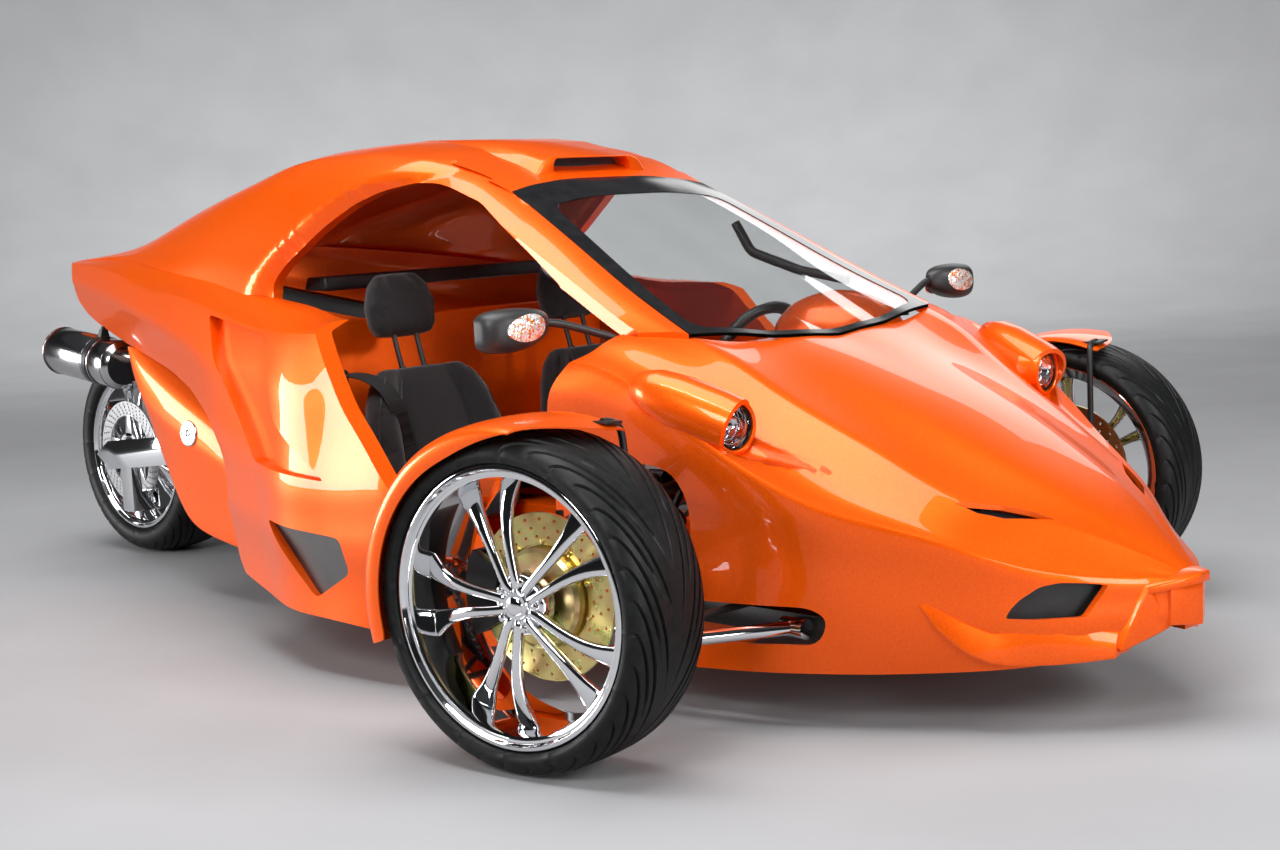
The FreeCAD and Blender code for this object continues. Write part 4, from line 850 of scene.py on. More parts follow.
def tyreRow(w, r, v, onWall, radius, half):  # one ring of the tyre, with the tread's grooves cut in
    blocks, sweep = tread['blocks'], tread['sweep']
    lean = sweep * (1 - (1 - v) ** 1.8) + 0.5 * v
    slope = (sweep * 1.8 * (1 - v) ** 0.8 + 0.5) / half
    wide = tread['width'] * min(1, 0.45 + v)
    share = min(0.5 * wide * math.hypot(1 / (math.tau * radius / blocks), slope), 0.3)
    rest = (1 - 2 * share) / 3
    phases = (-share, -share * 0.5, share * 0.5, share, share + rest, share + 2 * rest)
    points = []
    for i in range(blocks * tread['columns'] + 1):
        block, column = divmod(i, tread['columns'])
        cut = 0
        if column in (1, 2) and not onWall:
            start = 0.10 if block % 2 else 0.34
            cut = tread['depth'] * min(1, max(0, (v - start) / 0.10)) * (1 - 0.45 * max(0, v - 0.85) / 0.15)
        if column in (1, 2) and onWall and w > 0.108 and block % 2 == 0:
            cut = tread['depth'] * 0.35
        turn = (block + phases[column] + lean) * math.tau / blocks
        points.append(((r - cut) * math.cos(turn), w, (r - cut) * math.sin(turn)))
    return points


def tyrePiece(name, crown, walls):
    radius, half = crown[0][1], crown[-1][0]
    spots = [k / (len(crown) - 1) for k in range(len(crown))]
    rows = []
    for k in range(tread['steps']):
        v = k / (tread['steps'] - 1)
        w, r = (valueAt(spots, [p[k] for p in crown], v) for k in (0, 1))
        rows.append(tyreRow(w, r, v, False, radius, half))
    for w, r in walls:
        rows.append(tyreRow(w, r, 1.0, True, radius, half))
    rows[-1] = [(x, 0, z) for x, y, z in rows[-1]]
    other = [[(x, -y, z) for x, y, z in one] for one in rows[-2:0:-1]]
    return smooth(outward(gridPiece(name, rows + other + [rows[0]])), 28)


# a row of a spoke: radius, half width, how far out its face lies, thickness, distance from the pair's middle
spokeRows = mm((
    (26, 11.5, 72, 30, 9),
    (45, 11.2, 72.5, 26, 12.8),
    (65, 11, 72.2, 24, 15.5),
    (90, 11, 71.5, 22, 18.5),
    (120, 12, 70, 22, 22.5),
    (150, 13.8, 67, 22, 28.5),
    (178, 16.5, 62.5, 22, 36),
    (202, 21.5, 56.5, 23, 45),
    (222, 28, 50, 26, 54),
    (241.5, 33, 43, 30, 61),
))
# the rim's barrel and hub as (radius, along)
barrelProfile = mm([(271.2, 102.2), (270, 103), (264, 103), (262.2, 101.2), (260, 95), (256, 91.5),
                    (247.5, 88), (245.5, 80), (244.5, 50), (240, 35), (237.2, 0), (237, -60), (244, -86),
                    (260, -97), (269, -102.5), (271.5, -102), (271, -95), (253.2, -92.5), (253, -60),
                    (250, 0), (253, 60), (253.2, 93), (270, 95)])
hubProfile = mm([(0, 79), (15, 78.8), (17.5, 77), (19, 74.5), (26.5, 74), (28.5, 71.5), (30, 67), (42, 65),
                 (56, 61), (60, 56), (61, 30), (56, 22), (30, 15), (0, 15)])


def spokePiece(name, lean):
    rings = []
    for radius, half, face, wall, apart in spokeRows:
        section = ((-1.0, -0.55 * wall), (-0.92, -0.16 * wall), (-0.50, -0.03 * wall), (0, 0.0),
                   (0.50, -0.03 * wall), (0.92, -0.16 * wall), (1.0, -0.55 * wall), (0.62, -wall),
                   (-0.62, -wall))
        rings.append([((apart + u * half) * lean, face + d, radius) for u, d in section])
    piece = ringsPiece(name, rings)
    return soften(piece, 1)


def rimPiece(name):
    pieces = [spunPiece('barrel', barrelProfile, 128), spunPiece('hub', hubProfile, 64)]
    apart = 360 / wheel['pairs']
    for k in range(wheel['pairs']):
        turn = Matrix.Rotation(math.radians(wheel['spokeTurn'] + apart * k), 4, 'Y')
        for lean in (-1, 1):
            pieces.append(moveMesh(spokePiece('spoke', lean), turn))
        nut = boltHead('nut', (0, 0.0680, 0.0455), (0, 1, 0), 0.0072)
        pieces.append(moveMesh(nut, Matrix.Rotation(math.radians(wheel['nutTurn'] + apart * k), 4, 'Y')))
    for piece in pieces:
        smooth(piece, 38)
    return join(name, pieces)


frontDiscs = {'inner': 0.104, 'outer': 0.1645, 'wall': 0.007, 'rows': (0.117, 0.134, 0.151), 'holes': 26,
              'buttons': 10, 'inside': -0.023}
rearDiscs = {'inner': 0.118, 'outer': 0.1645, 'wall': 0.0065, 'rows': (0.126, 0.136, 0.146, 0.156),
             'holes': 40, 'arms': 5, 'inside': -0.1185}
drillRadius = 0.0034


def drilledDisc(name, sizes):
    inner, outer, wall, rows, holes = (sizes[key] for key in ('inner', 'outer', 'wall', 'rows', 'holes'))
    edge, half = 0.0006, wall / 2
    disc = spunPiece(name, [(outer, half - edge), (outer - edge, half), (inner, half), (inner, -half),
                            (outer - edge, -half), (outer, -half + edge)], 96)
    drills = []
    for i, radius in enumerate(rows):
        for k in range(holes):
            turn = math.tau * (k + i / len(rows)) / holes
            spot = (radius * math.cos(turn), 0, radius * math.sin(turn))
            drills.append(added('drill', bpy.ops.mesh.primitive_cylinder_add, vertices=12, radius=drillRadius,
                                depth=wall * 3, location=spot, rotation=(math.radians(90), 0, 0)))
    cutAway(disc, settle(join('drills', drills)))
    return smooth(disc, 30)


bellProfile = mm([(112, -19), (112, -26.5), (100, -26.5), (98, 0), (90, 6), (30, 6), (30, 0), (86, 0),
                  (94, -4), (96, -30), (114, -30), (114.5, -19)])


def frontDisc(name):
    ring = moveMesh(drilledDisc('ring', frontDiscs), Matrix.Translation((0, frontDiscs['inside'], 0)))
    pieces = [smooth(spunPiece('bell', bellProfile, 72), 35)]
    for k in range(frontDiscs['buttons']):
        turn = Matrix.Rotation(math.tau * k / frontDiscs['buttons'], 4, 'Y')
        button = moveMesh(boltHead('button', (0, -0.0175, 0.108), (0, 1, 0), 0.0052), turn)
        pieces.append(smooth(button, 35))
    return join(name, [ring] + pieces)


def standFront(piece, side):  # from its own axle to the parked place on one side
    if side < 0:
        flipSide(piece)
    where = (Matrix.Translation((wheel['pin'][0], side * wheel['pin'][1], 0))
             @ Matrix.Rotation(math.radians(wheel['parked']), 4, 'Z')
             @ Matrix.Translation((0, side * wheel['plane'], wheel['centre'])))
    return moveMesh(piece, where)


def standBoth(*rows):  # a copy of each shape on each side, and the shapes go
    for side, word in ((-1, 'right'), (1, 'left')):
        for shape, body, slot, material, node in rows:
            one = standFront(copyOf(shape, shape.name + word.capitalize()), side)
            fixedOn(one, body + word, material, node and node + word)
    for row in rows:
        bpy.data.objects.remove(row[0])


def frontWheels():
    tyre = tyrePiece('frontTyre', frontTyreRows, frontWallRows)
    rim, disc = rimPiece('frontRim'), frontDisc('frontDisc')
    standBoth((tyre, 'wheel_front_', 'tyre_rubber', rubber, 'front_tyre_'))
    standBoth((rim, 'wheel_front_', 'chrome', chrome, 'front_rim_'))
    standBoth((disc, 'wheel_front_', 'zinc_steel', zinc, 'front_disc_'))


rearWheel = {'place': (-1.685, 0, 0.330), 'rimShare': 248 / 272, 'rimWidth': 1.045,
             'teeth': 42, 'toothFoot': 0.1035, 'toothHeight': 0.006}
rearHubProfile = mm([(17.5, 128), (40, 128), (44, 124), (46, 50), (46, -50), (44, -124), (40, -128),
                     (17.5, -128)])


def rearDisc():
    disc = drilledDisc('rearDiscRing', rearDiscs)
    arms = []
    for k in range(rearDiscs['arms']):
        corners = [(half * u, 0.003 * w, reach) for half, reach in ((0.020, 0.050), (0.011, 0.121))
                   for u in (-1, 1) for w in (-1, 1)]
        arm = easeEdges(hullPiece('discArm', corners), 0.0012)
        arms.append(moveMesh(arm, Matrix.Rotation(math.tau * k / rearDiscs['arms'], 4, 'Y')))
    centre = spunPiece('discCentre', [(0.0505, 0.003), (0.062, 0.003), (0.062, -0.003), (0.0505, -0.003)], 48)
    disc = join('rearDiscRing', [disc, centre] + arms)
    return moveMesh(disc, Matrix.Translation((0, rearDiscs['inside'], 0)))


def sprocketPiece():
    outline = []
    count = rearWheel['teeth']
    for k in range(count):
        for lift, step in ((0, -0.30), (1, -0.12), (1, 0.12), (0, 0.30)):
            r = rearWheel['toothFoot'] + rearWheel['toothHeight'] * lift
            turn = math.tau * k / count + step * math.tau / count
            outline.append((r * math.cos(turn), r * math.sin(turn)))
    sprocket = prismPiece('sprocket', outline, 'y', 0.1155, 0.1205)
    cutAway(sprocket, spunPiece('tool', [(0, 0.2), (0.0505, 0.2), (0.0505, 0.0), (0, 0.0)], 32))
    return sprocket


def rearWheelPieces():
    place = Matrix.Translation(rearWheel['place'])
    tyre = moveMesh(tyrePiece('rearTyre', rearTyreRows, rearWallRows), place)
    fixedOn(tyre, 'wheel_rear', rubber, 'rear_tyre')
    share = rearWheel['rimShare']
    rim = moveMesh(rimPiece('rearRim'), Matrix.Diagonal((share, rearWheel['rimWidth'], share, 1)))
    hub = smooth(spunPiece('rearHub', rearHubProfile, 48), 35)
    rim = moveMesh(flipSide(join('rearRim', [rim, hub])), place)
    fixedOn(rim, 'wheel_rear', chrome, 'rear_rim')
    for piece in (rearDisc(), sprocketPiece()):
        moveMesh(smooth(piece, 30), place)
        fixedOn(piece, 'wheel_rear', discSteel, 'rear_disc')


# front fenders, which steer with the knuckles

fender = {'wall': 0.004, 'start': -16.0, 'end': (98.0, 113.0), 'steps': 22}
fenderRow = mm(((127, 302), (128.5, 318), (126.2, 337), (115, 346.8), (85, 352), (40, 354.8), (0, 355.2),
                (-50, 354), (-90, 350.5), (-118, 345), (-126.2, 338.5)))


def fenderPiece():
    rows = []
    for w, r in fenderRow:
        across = (0.127 - w) / 0.254
        end = fender['end'][0] + (fender['end'][1] - fender['end'][0]) * min(1, across * 1.6)
        line = []
        for k in range(fender['steps'] + 1):
            t = k / fender['steps']
            angle = math.radians(fender['start'] + (end - fender['start']) * t)
            lift = r
            if r < 0.34:
                lift = r + (0.339 - r) * max(0, (t - 0.72) / 0.28) ** 1.6
            line.append((-lift * math.cos(angle), w, lift * math.sin(angle)))
        rows.append(line)
    piece = gridPiece('fender', rows)
    soften(piece, 1)
    turnUp(piece)
    thicken(piece, fender['wall'])
    return smooth(piece, 40)


def frontFenders():
    shape = fenderPiece()
    path = [(0.018, -0.072, 0.044), (0.090, -0.120, 0.048), (0.118, -0.136, 0.070), (0.118, -0.137, 0.300),
            (0.112, -0.118, 0.334), (0.110, -0.080, 0.334)]
    stay = tubePiece('fenderStay', path, 0.0075)
    pad = hullPiece('fenderPad', [(x, y, z) for x in (0.085, 0.135) for y, z in (
        (-0.112, 0.334), (-0.060, 0.338), (-0.112, 0.328), (-0.060, 0.332))])
    stay = smooth(join('fenderStay', [stay, easeEdges(pad, 0.0015)]), 35)
    standBoth((shape, 'knuckle_', 'body_paint', orange, 'fender_'),
              (stay, 'knuckle_', 'black_steel', satinBlack, None))


# the raised intake on the roof

scoop = {'rows': mm((  # ahead, half width at the foot and on top, low and high
    (366, 205, 160, 1120, 1178), (300, 205, 158, 1140, 1196), (200, 208, 160, 1185, 1220),
    (80, 212, 164, 1205, 1233), (-75, 212, 166, 1215, 1240), (-220, 205, 160, 1208, 1236),
    (-336, 190, 140, 1180, 1206))),
    'mouth': mm([(-136, 1141), (136, 1141), (126, 1176), (-126, 1176)])}


def roofScoop():
    rows = []
    for x, foot, top, low, high in scoop['rows']:
        rows.append([(x, -foot, low - 0.02), (x, -foot, low), (x, -top - 0.006, high - 0.010),
                     (x, -top + 0.02, high), (x, 0, high + 0.001), (x, top - 0.02, high),
                     (x, top + 0.006, high - 0.010), (x, foot, low), (x, foot, low - 0.02)])
    piece = easeEdges(ringsPiece('roofScoop', rows), 0.006, 3, 25)
    cutPrism(piece, rounded(scoop['mouth'], 0.014), 'x', 0.290, 0.500)
    onChassis(smooth(piece, 34), orange)


# side fins behind the doors, with the fuel cap

fin = {'wall': 0.014, 'edge': 0.0025, 'crease': 0.85}
finRows = mm((
    ((-1129, 434, 711), (-1105, 434, 709), (-1070, 434, 702), (-970, 434, 670), (-860, 432, 625),
     (-720, 430, 553), (-628, 428, 485)),
    ((-1128, 436, 700), (-1102, 446, 680), (-1060, 458, 650), (-950, 466, 605), (-848, 466, 558),
     (-722, 458, 500), (-620, 444, 445)),
    ((-1120, 436, 680), (-1096, 446, 640), (-1037, 458, 559), (-925, 464, 505), (-830, 464, 468),
     (-735, 460, 430), (-628, 450, 388)),
    ((-1112, 434, 664), (-1078, 438, 590), (-1028, 444, 500), (-950, 444, 420), (-860, 442, 345),
     (-770, 440, 295), (-655, 438, 262)),
    ((-1106, 432, 648), (-1067, 434, 560), (-1020, 434, 460), (-965, 432, 355), (-905, 432, 250),
     (-835, 432, 196), (-620, 432, 166)),
))


def sideFins():
    piece = gridPiece('sideFin', finRows)
    creaseRows(piece, len(finRows[0]), {2: fin['crease']})
    soften(piece, 3, boundary_smooth='PRESERVE_CORNERS')
    turnLeft(piece)
    thicken(piece, fin['wall'], -1.0, False)
    smooth(easeEdges(piece, fin['edge'], 3, 50), 34)
    pairOn(piece, orange, 'side_fins')


cap = {'place': (-0.802, -0.4635, 0.480), 'way': (0.05, -1, 0.10), 'radius': 0.036, 'bolts': 6}


def fuelCap():
    r = cap['radius']
    way = Vector(cap['way'])
    start, end = Vector(cap['place']) - way * 0.01, Vector(cap['place']) + way
    profile = [(0, 0.010), (0.010, 0.010), (0.011, 0.0135), (0.020, 0.0145), (0.0215, 0.012), (0.0235, 0.012),
               (0.0245, 0.0145), (r - 0.003, 0.0135), (r, 0.011), (r, 0.0), (0, 0.0)]
    pieces = [smooth(turnedPiece('fuelCap', profile, start, end, 72), 30)]
    for k in range(cap['bolts']):
        turn = math.tau * k / cap['bolts']
        spot = alongAxis(start, end) @ Vector((0.0292 * math.cos(turn), 0.0292 * math.sin(turn), 0.0145))
        pieces.append(boltHead('capBolt', spot, way, 0.0022))
    onChassis(join('fuelCap', pieces), capAlloy, 'fuel_cap')
    profile = [(0, 0.0122), (0.007, 0.0122), (0.009, 0.0105), (0.009, 0.004), (0, 0.004)]
    lock = smooth(turnedPiece('fuelCapLock', profile, start, end, 32), 30)
    onChassis(lock, glossBlack)


# wire meshes in the openings, each with a dark plate behind it: painted shade for the hollow behind the
# opening

lattice = {'cell': 0.0085, 'wire': 0.0016, 'plate': 0.004, 'slotPlate': 0.003, 'slotDepth': 0.016,
           'ventPlane': 0.786, 'intakePlane': 0.335, 'grille': ((1.908, 0.142, 0), (1.738, 0.322, 0))}
grilleOutline = mm([(0, 218), (245, 218), (245, 318), (0, 318)])
ventOutline = mm([(0, 372), (318, 352), (340, 252), (195, 176)])
slotOutline = mm([(1798, 152), (1738, 182), (1688, 226), (1628, 318), (1640, 332), (1692, 304),
                  (1734, 268), (1774, 216)])
intakeOutline = mm([(-145, 1132), (145, 1132), (135, 1184), (-135, 1184)])


def inside(outline, u, v):
    hit = False
    for (a, b), (c, d) in zip(outline, outline[1:] + outline[:1]):
        if (b > v) != (d > v) and u < (c - a) * (v - b) / (d - b) + a:
            hit = not hit
    return hit


def latticePiece(name, outline, place):  # diamonds kept where they fall inside the outline
    low = [min(p[k] for p in outline) for k in (0, 1)]
    high = [max(p[k] for p in outline) for k in (0, 1)]
    middle = [(a + b) / 2 for a, b in zip(low, high)]
    span = max(high[0] - low[0], high[1] - low[1]) * 1.5
    count = max(6, round(span / lattice['cell']))
    piece = settle(added(name, bpy.ops.mesh.primitive_grid_add, x_subdivisions=count, y_subdivisions=count,
                         size=span, location=(*middle, 0), rotation=(0, 0, math.radians(45))))
    for face in piece.data.polygons:
        face.select = not inside(outline, face.center.x, face.center.y)
    bpy.ops.object.mode_set(mode='EDIT')
    bpy.ops.mesh.delete(type='FACE')
    bpy.ops.object.mode_set(mode='OBJECT')
    for vertex in piece.data.vertices:
        vertex.co = place(vertex.co.x, vertex.co.y)
    return modify(piece, 'WIREFRAME', thickness=lattice['wire'])


def backedMesh(name, outline, place, apart, wall):  # place turns two numbers into a point
    points = [place(u, v) + Vector(apart) for u, v in outline]
    # the dark plate behind the mesh is painted shade for the hollow behind it
    plate = drawnOut(name + 'Back', points, wall)
    return join(name, [latticePiece(name, outline, place), plate])


def meshes():
    fill = bodyFill()
    tree = BVHTree.FromObject(fill, bpy.context.evaluated_depsgraph_get())
    bpy.data.objects.remove(fill)
    start, end = (Vector(point) for point in lattice['grille'])
    way = (end - start).normalized()
    plate, thin = lattice['plate'], lattice['slotPlate']

    def onGrille(u, v):
        return start + way * u + Vector((-0.012, -0.008, v))

    def onVent(u, v):
        return Vector((u, lattice['ventPlane'], v))

    def underHood(u, v):
        return tree.ray_cast(Vector((u, v, 1)), Vector((0, 0, -1)))[0] - Vector((0, 0, lattice['slotDepth']))

    kinds = (('grilleMesh', grilleOutline, onGrille, (-plate, -plate, 0)),
             ('ventMesh', ventOutline, onVent, (0, -plate, 0)),
             ('slotMesh', slotOutline, underHood, (0, 0, -thin)))
    for side, word in sides:
        for name, outline, place, wall in kinds:
            both = backedMesh(name + word, outline, place, Vector(wall) * 2.5, wall)
            if side < 0:
                flipSide(both)
            onChassis(both, blackPlastic, 'mesh_grilles')
    both = backedMesh('intakeMesh', intakeOutline, lambda u, v: Vector((lattice['intakePlane'], u, v)),
                      (-0.017, 0, 0), (-plate, 0, 0))
    onChassis(both, blackPlastic, 'mesh_grilles')


# door mirrors with a signal lens on the front

# a ring of the housing: y, x middle, z middle, half depth, half height
mirrorRings = mm(((668, 885, 828, 10, 14), (684, 887, 827, 26, 28), (715, 888, 824, 40, 38),
                  (755, 886, 820, 47, 45), (800, 882, 818, 46, 46), (832, 878, 818, 38, 41),
                  (846, 874, 819, 22, 28)))
mirrorArm = mm([(886, 676, 828), (893, 648, 826), (905, 600, 812), (918, 550, 796), (926, 520, 786),
                (930, 500, 776), (932, 492, 762)])
mirror = {'sides': 20, 'power': 0.72, 'flat': 0.62, 'lensDepth': 0.0024, 'armRadius': 0.0085,
          'lensMiddle': (0.752, 0.824), 'lensHalf': (0.052, 0.0275), 'faces': (0.8505, 0.8575)}


def roundRing(y, x, z, deep, tall):
    ring = []
    for k in range(mirror['sides']):
        turn = math.tau * k / mirror['sides']
        c, s = math.cos(turn), math.sin(turn)
        u = max(math.copysign(abs(c) ** mirror['power'], c) * deep, -deep * mirror['flat'])
        ring.append((x + u, y, z + math.copysign(abs(s) ** mirror['power'], s) * tall))
    return ring


def lensOval(count=40):
    points = []
    (y, z), (wide, tall) = mirror['lensMiddle'], mirror['lensHalf']
    for k in range(count):
        c, s = math.cos(math.tau * k / count), math.sin(math.tau * k / count)
        points.append((y + wide * c * (1 + 0.10 * c), z + tall * s - 0.004 * c))
    return points


def doorMirrors():
    shape = ringsPiece('mirrorHousing', [roundRing(*ring) for ring in mirrorRings])
    soften(shape, 2)
    lens = moveMesh(copyOf(shape, 'signalLens'), Matrix.Translation((mirror['lensDepth'], 0, 0)))
    cutPrism(lens, lensOval(), 'x', 0.89, 1.00, 'INTERSECT')
    edge = rounded([(0.700, 0.790), (0.812, 0.784), (0.826, 0.846), (0.708, 0.852)], 0.026, 6)
    glass = easeEdges(prismPiece('mirrorGlass', edge, 'x', *mirror['faces']), 0.0008)
    arm = tubePiece('mirrorStalk', mirrorArm, mirror['armRadius'])
    profile = [(0, 0.0), (0.017, 0.0), (0.0175, 0.004), (0.013, 0.014), (0.009, 0.018), (0, 0.018)]
    foot = turnedPiece('mirrorFoot', profile, (0.932, 0.492, 0.752), (0.930, 0.4935, 0.775), 32)
    for piece in (shape, lens, glass, arm, foot):
        smooth(piece, 38)
    pairOn(join('mirrorHousing', [shape, arm, foot]), blackPlastic, 'mirror_housings')
    pairOn(lens, signalLens)
    pairOn(glass, mirrorFace, 'mirror_glasses')


# seats: pads swollen by cloth simulation, then piping over the seams

seat = {'middle': 0.295, 'voxel': 0.007, 'pressure': 4.0, 'frames': 20, 'piping': 0.0026, 'swell': 0.016,
        'headSwell': 0.010, 'seamReach': 0.009, 'fill': 0.6, 'postApart': 0.036, 'postRadius': 0.0065}
# rows of a pad: centre x, centre z, half width, front, back, bolster, lean in degrees
backRows = ((0.092, 0.278, 0.196, 0.026, 0.03, 0.018, 14), (0.084, 0.31, 0.208, 0.034, 0.036, 0.03, 14),
            (0.068, 0.38, 0.213, 0.034, 0.036, 0.036, 14), (0.05, 0.45, 0.211, 0.034, 0.036, 0.036, 14),
            (0.034, 0.52, 0.203, 0.034, 0.036, 0.034, 14), (0.018, 0.59, 0.184, 0.034, 0.034, 0.026, 14),
            (0.006, 0.64, 0.16, 0.032, 0.03, 0.016, 14), (0.0, 0.672, 0.128, 0.024, 0.022, 0.006, 14))
cushionRows = ((0.212, 0.196, 0.196, 0.03, 0.026, 0.016, 90), (0.24, 0.2, 0.21, 0.036, 0.03, 0.026, 90),
               (0.33, 0.206, 0.214, 0.036, 0.032, 0.032, 92), (0.43, 0.214, 0.214, 0.036, 0.034, 0.032, 94),
               (0.54, 0.222, 0.212, 0.036, 0.036, 0.026, 96),
               (0.625, 0.224, 0.204, 0.034, 0.036, 0.016, 98),
               (0.662, 0.22, 0.186, 0.024, 0.028, 0.006, 100))
headRows = ((-0.05, 0.752, 0.082, 0.026, 0.024, 0, 10), (-0.054, 0.775, 0.098, 0.034, 0.03, 0, 10),
            (-0.062, 0.83, 0.105, 0.036, 0.032, 0, 10), (-0.07, 0.88, 0.086, 0.032, 0.028, 0, 10),
            (-0.075, 0.906, 0.062, 0.02, 0.018, 0, 10))
padSection = ((-1.0, 0.35, 0), (-0.97, 0.86, 1.0), (-0.80, 1.0, 1.0), (-0.66, 0.96, 0.55), (-0.56, 0.90, 0.0),
              (-0.30, 0.97, 0.0), (0, 1.0, 0.0), (0.30, 0.97, 0.0), (0.56, 0.90, 0.0), (0.66, 0.96, 0.55),
              (0.80, 1.0, 1.0), (0.97, 0.86, 1.0), (1.0, 0.35, 0), (0.93, -0.55, 0), (0.80, -0.95, 0),
              (0, -1.0, 0), (-0.80, -0.95, 0), (-0.93, -0.55, 0))
backSeam = ((0.25, 0.105), (0.40, 0.128), (0.55, 0.112), (0.69, 0.070))
backEdge = ((0.27, 0.196), (0.38, 0.206), (0.50, 0.200), (0.60, 0.172), (0.66, 0.136), (0.69, 0.100))
cushionSeam = ((0.20, 0.118), (0.45, 0.132), (0.68, 0.122))


def swell(piece, seam, axis, limit):  # the cloth is held along a seam on both sides, given along an axis
    group = piece.vertex_groups.new(name='held')
    for vertex in piece.data.vertices:
        nearest = min(abs(vertex.co.y - side * lineAt(seam, vertex.co[axis])) for side in (1, -1))
        if nearest < seat['seamReach']:
            group.add([vertex.index], 1.0, 'REPLACE')
    start = [vertex.co.copy() for vertex in piece.data.vertices]
    cloth = piece.modifiers.new('cloth', 'CLOTH')
    cloth.settings.use_pressure = True
    cloth.settings.uniform_pressure_force = seat['pressure']
    cloth.settings.effector_weights.gravity = 0
    cloth.settings.vertex_group_mass = 'held'
    cloth.settings.quality = 5
    cloth.point_cache.frame_start = 1
    cloth.point_cache.frame_end = seat['frames']
    for number in range(1, seat['frames'] + 1):
        bpy.context.scene.frame_set(number)
    applied(piece, cloth)
    bpy.context.scene.frame_set(1)
    for vertex, place in zip(piece.data.vertices, start):
        move = vertex.co - place
        if move.length > limit:
            vertex.co = place + move * (limit / move.length)
    piece.data.update()
    piece.vertex_groups.clear()


def puff(name, rows, seam, axis, limit):
    piece = ringsPiece(name, padRings(rows))
    modify(piece, 'REMESH', mode='VOXEL', voxel_size=seat['voxel'])
    swell(piece, seam, axis, limit)
    modify(piece, 'SMOOTH', factor=0.5, iterations=3)
    soften(piece, 1)
    return smooth(outward(piece, 0), 60)


def padRings(rows):
    rings = []
    for cx, cz, half, front, back, bolster, lean in rows:
        c, s = math.cos(math.radians(lean)), math.sin(math.radians(lean))
        ring = []
        for u, d, lift in padSection:
            depth = (front if d > 0 else back) * d + bolster * lift
            ring.append((cx + depth * c, u * half, cz + depth * s))
        rings.append(ring)
    return rings


def pipingOver(piece, name, points, way):  # a thin cord laid on the pad along points seen from one side
    tree = BVHTree.FromObject(piece, bpy.context.evaluated_depsgraph_get())
    path = []
    for point in points:
        hit, normal = tree.ray_cast(Vector(point) + Vector(way) * 0.5, -Vector(way))[:2]
        if hit is not None:
            path.append(tuple(hit + normal * seat['piping'] * 0.35))
    return tubePiece(name, path, seat['piping'], 8)


def seatTrim(back, base):  # the cords over the seams and the posts of the headrest
    cords, posts = [], []
    for side, word in sides:
        for name, line, ahead, foot in (('backPiping', backSeam, 0.1, 0.29),
                                        ('backEdge', backEdge, 0.05, 0.285)):
            heights = [foot + 0.013 * k for k in range(30)]
            seam = [(ahead, side * lineAt(line, z), z) for z in heights]
            cords.append(pipingOver(back, name, seam, (1, 0, 0.25)))
        lengths = [0.215 + 0.015 * k for k in range(30)]
        seam = [(x, side * lineAt(cushionSeam, x), 0.3) for x in lengths]
        cords.append(pipingOver(base, 'cushionPiping', seam, (0, 0, 1)))
        y, r = side * seat['postApart'], seat['postRadius']
        posts.append(tubePiece('post', [(-0.004, y, 0.640), (-0.024, y, 0.700), (-0.044, y, 0.768)], r, 12))
        profile = [(r, 0), (0.012, 0), (0.0125, 0.004), (0.010, 0.010), (r, 0.010)]
        posts.append(turnedPiece('postCollar', profile, (-0.010, y, 0.664), (-0.018, y, 0.690), 24))
    for piece in cords + posts:
        smooth(piece, 40)
    return join('seatPiping', cords), join('headrestPosts', posts)


def seats():
    back = puff('seatBack', backRows, backSeam, 2, seat['swell'])
    base = puff('seatCushion', cushionRows, cushionSeam, 0, seat['swell'])
    head = puff('headrest', headRows, ((0.7, 0.5), (0.9, 0.5)), 2, seat['headSwell'])
    print('pads swollen')
    cords, posts = seatTrim(back, base)
    tree = BVHTree.FromObject(back, bpy.context.evaluated_depsgraph_get())
    for side, word in sides:
        shift = Matrix.Translation((0, side * seat['middle'], 0))
        for piece, slot, material, node in (
                (back, 'seat_cloth', seatCloth, 'seat_backs'),
                (base, 'seat_cloth', seatCloth, 'seat_cushions'),
                (head, 'seat_cloth', seatCloth, 'headrests'), (cords, 'seat_cloth', blackPlastic, None),
                (posts, 'black_steel', satinBlack, None)):
            one = moveMesh(copyOf(piece, piece.name + word), shift)
            onChassis(one, material, node)
        seatBelt(tree, side, word)
    for piece in (back, base, head, cords, posts):
        bpy.data.objects.remove(piece)


belt = {'width': 0.046, 'wall': 0.0022,
        'path': mm(((150, 640), (142, 600), (130, 550), (116, 500), (100, 450), (86, 400), (74, 350),
                    (66, 318))),
        'behind': mm(((-145, 50, 30), (-85, 36, 40), (-30, 12, 24)))}

# outline across and ahead, then the rings' half widths and heights
buckle = (((-1, 0.004), (-0.9, 0.016), (0.9, 0.016), (1, 0.004), (0.9, -0.008), (-0.9, -0.008)),
          ((0.022, 0.020), (0.028, 0.012), (0.028, -0.030), (0.020, -0.052)))
anchor = (((-1, 0.0), (-0.8, 0.018), (0.8, 0.018), (1, 0.0), (0.8, -0.018), (-0.8, -0.018)),
          ((0.034, -0.022), (0.040, -0.016), (0.040, 0.010), (0.032, 0.016)))


def strapPiece(name, points, across):  # a flat strap along points, its width along across
    reach = [way.normalized() * belt['width'] / 2 for way in across]
    rows = [[tuple(Vector(p) + side * r) for p, r in zip(points, reach)] for side in (-1, 0, 1)]
    piece = gridPiece(name, rows)
    soften(piece, 2)
    thicken(piece, belt['wall'], 0)
    return smooth(outward(piece, 0), 35)


def beltBlock(name, place, section, rings):  # a closed block round a place, from its outline and its rings
    points = [[(place[0] + d, place[1] + u * w, place[2] + h) for u, d in section] for w, h in rings]
    piece = smooth(easeEdges(ringsPiece(name, points), 0.002, 2, 25), 35)
    onChassis(piece, blackPlastic)


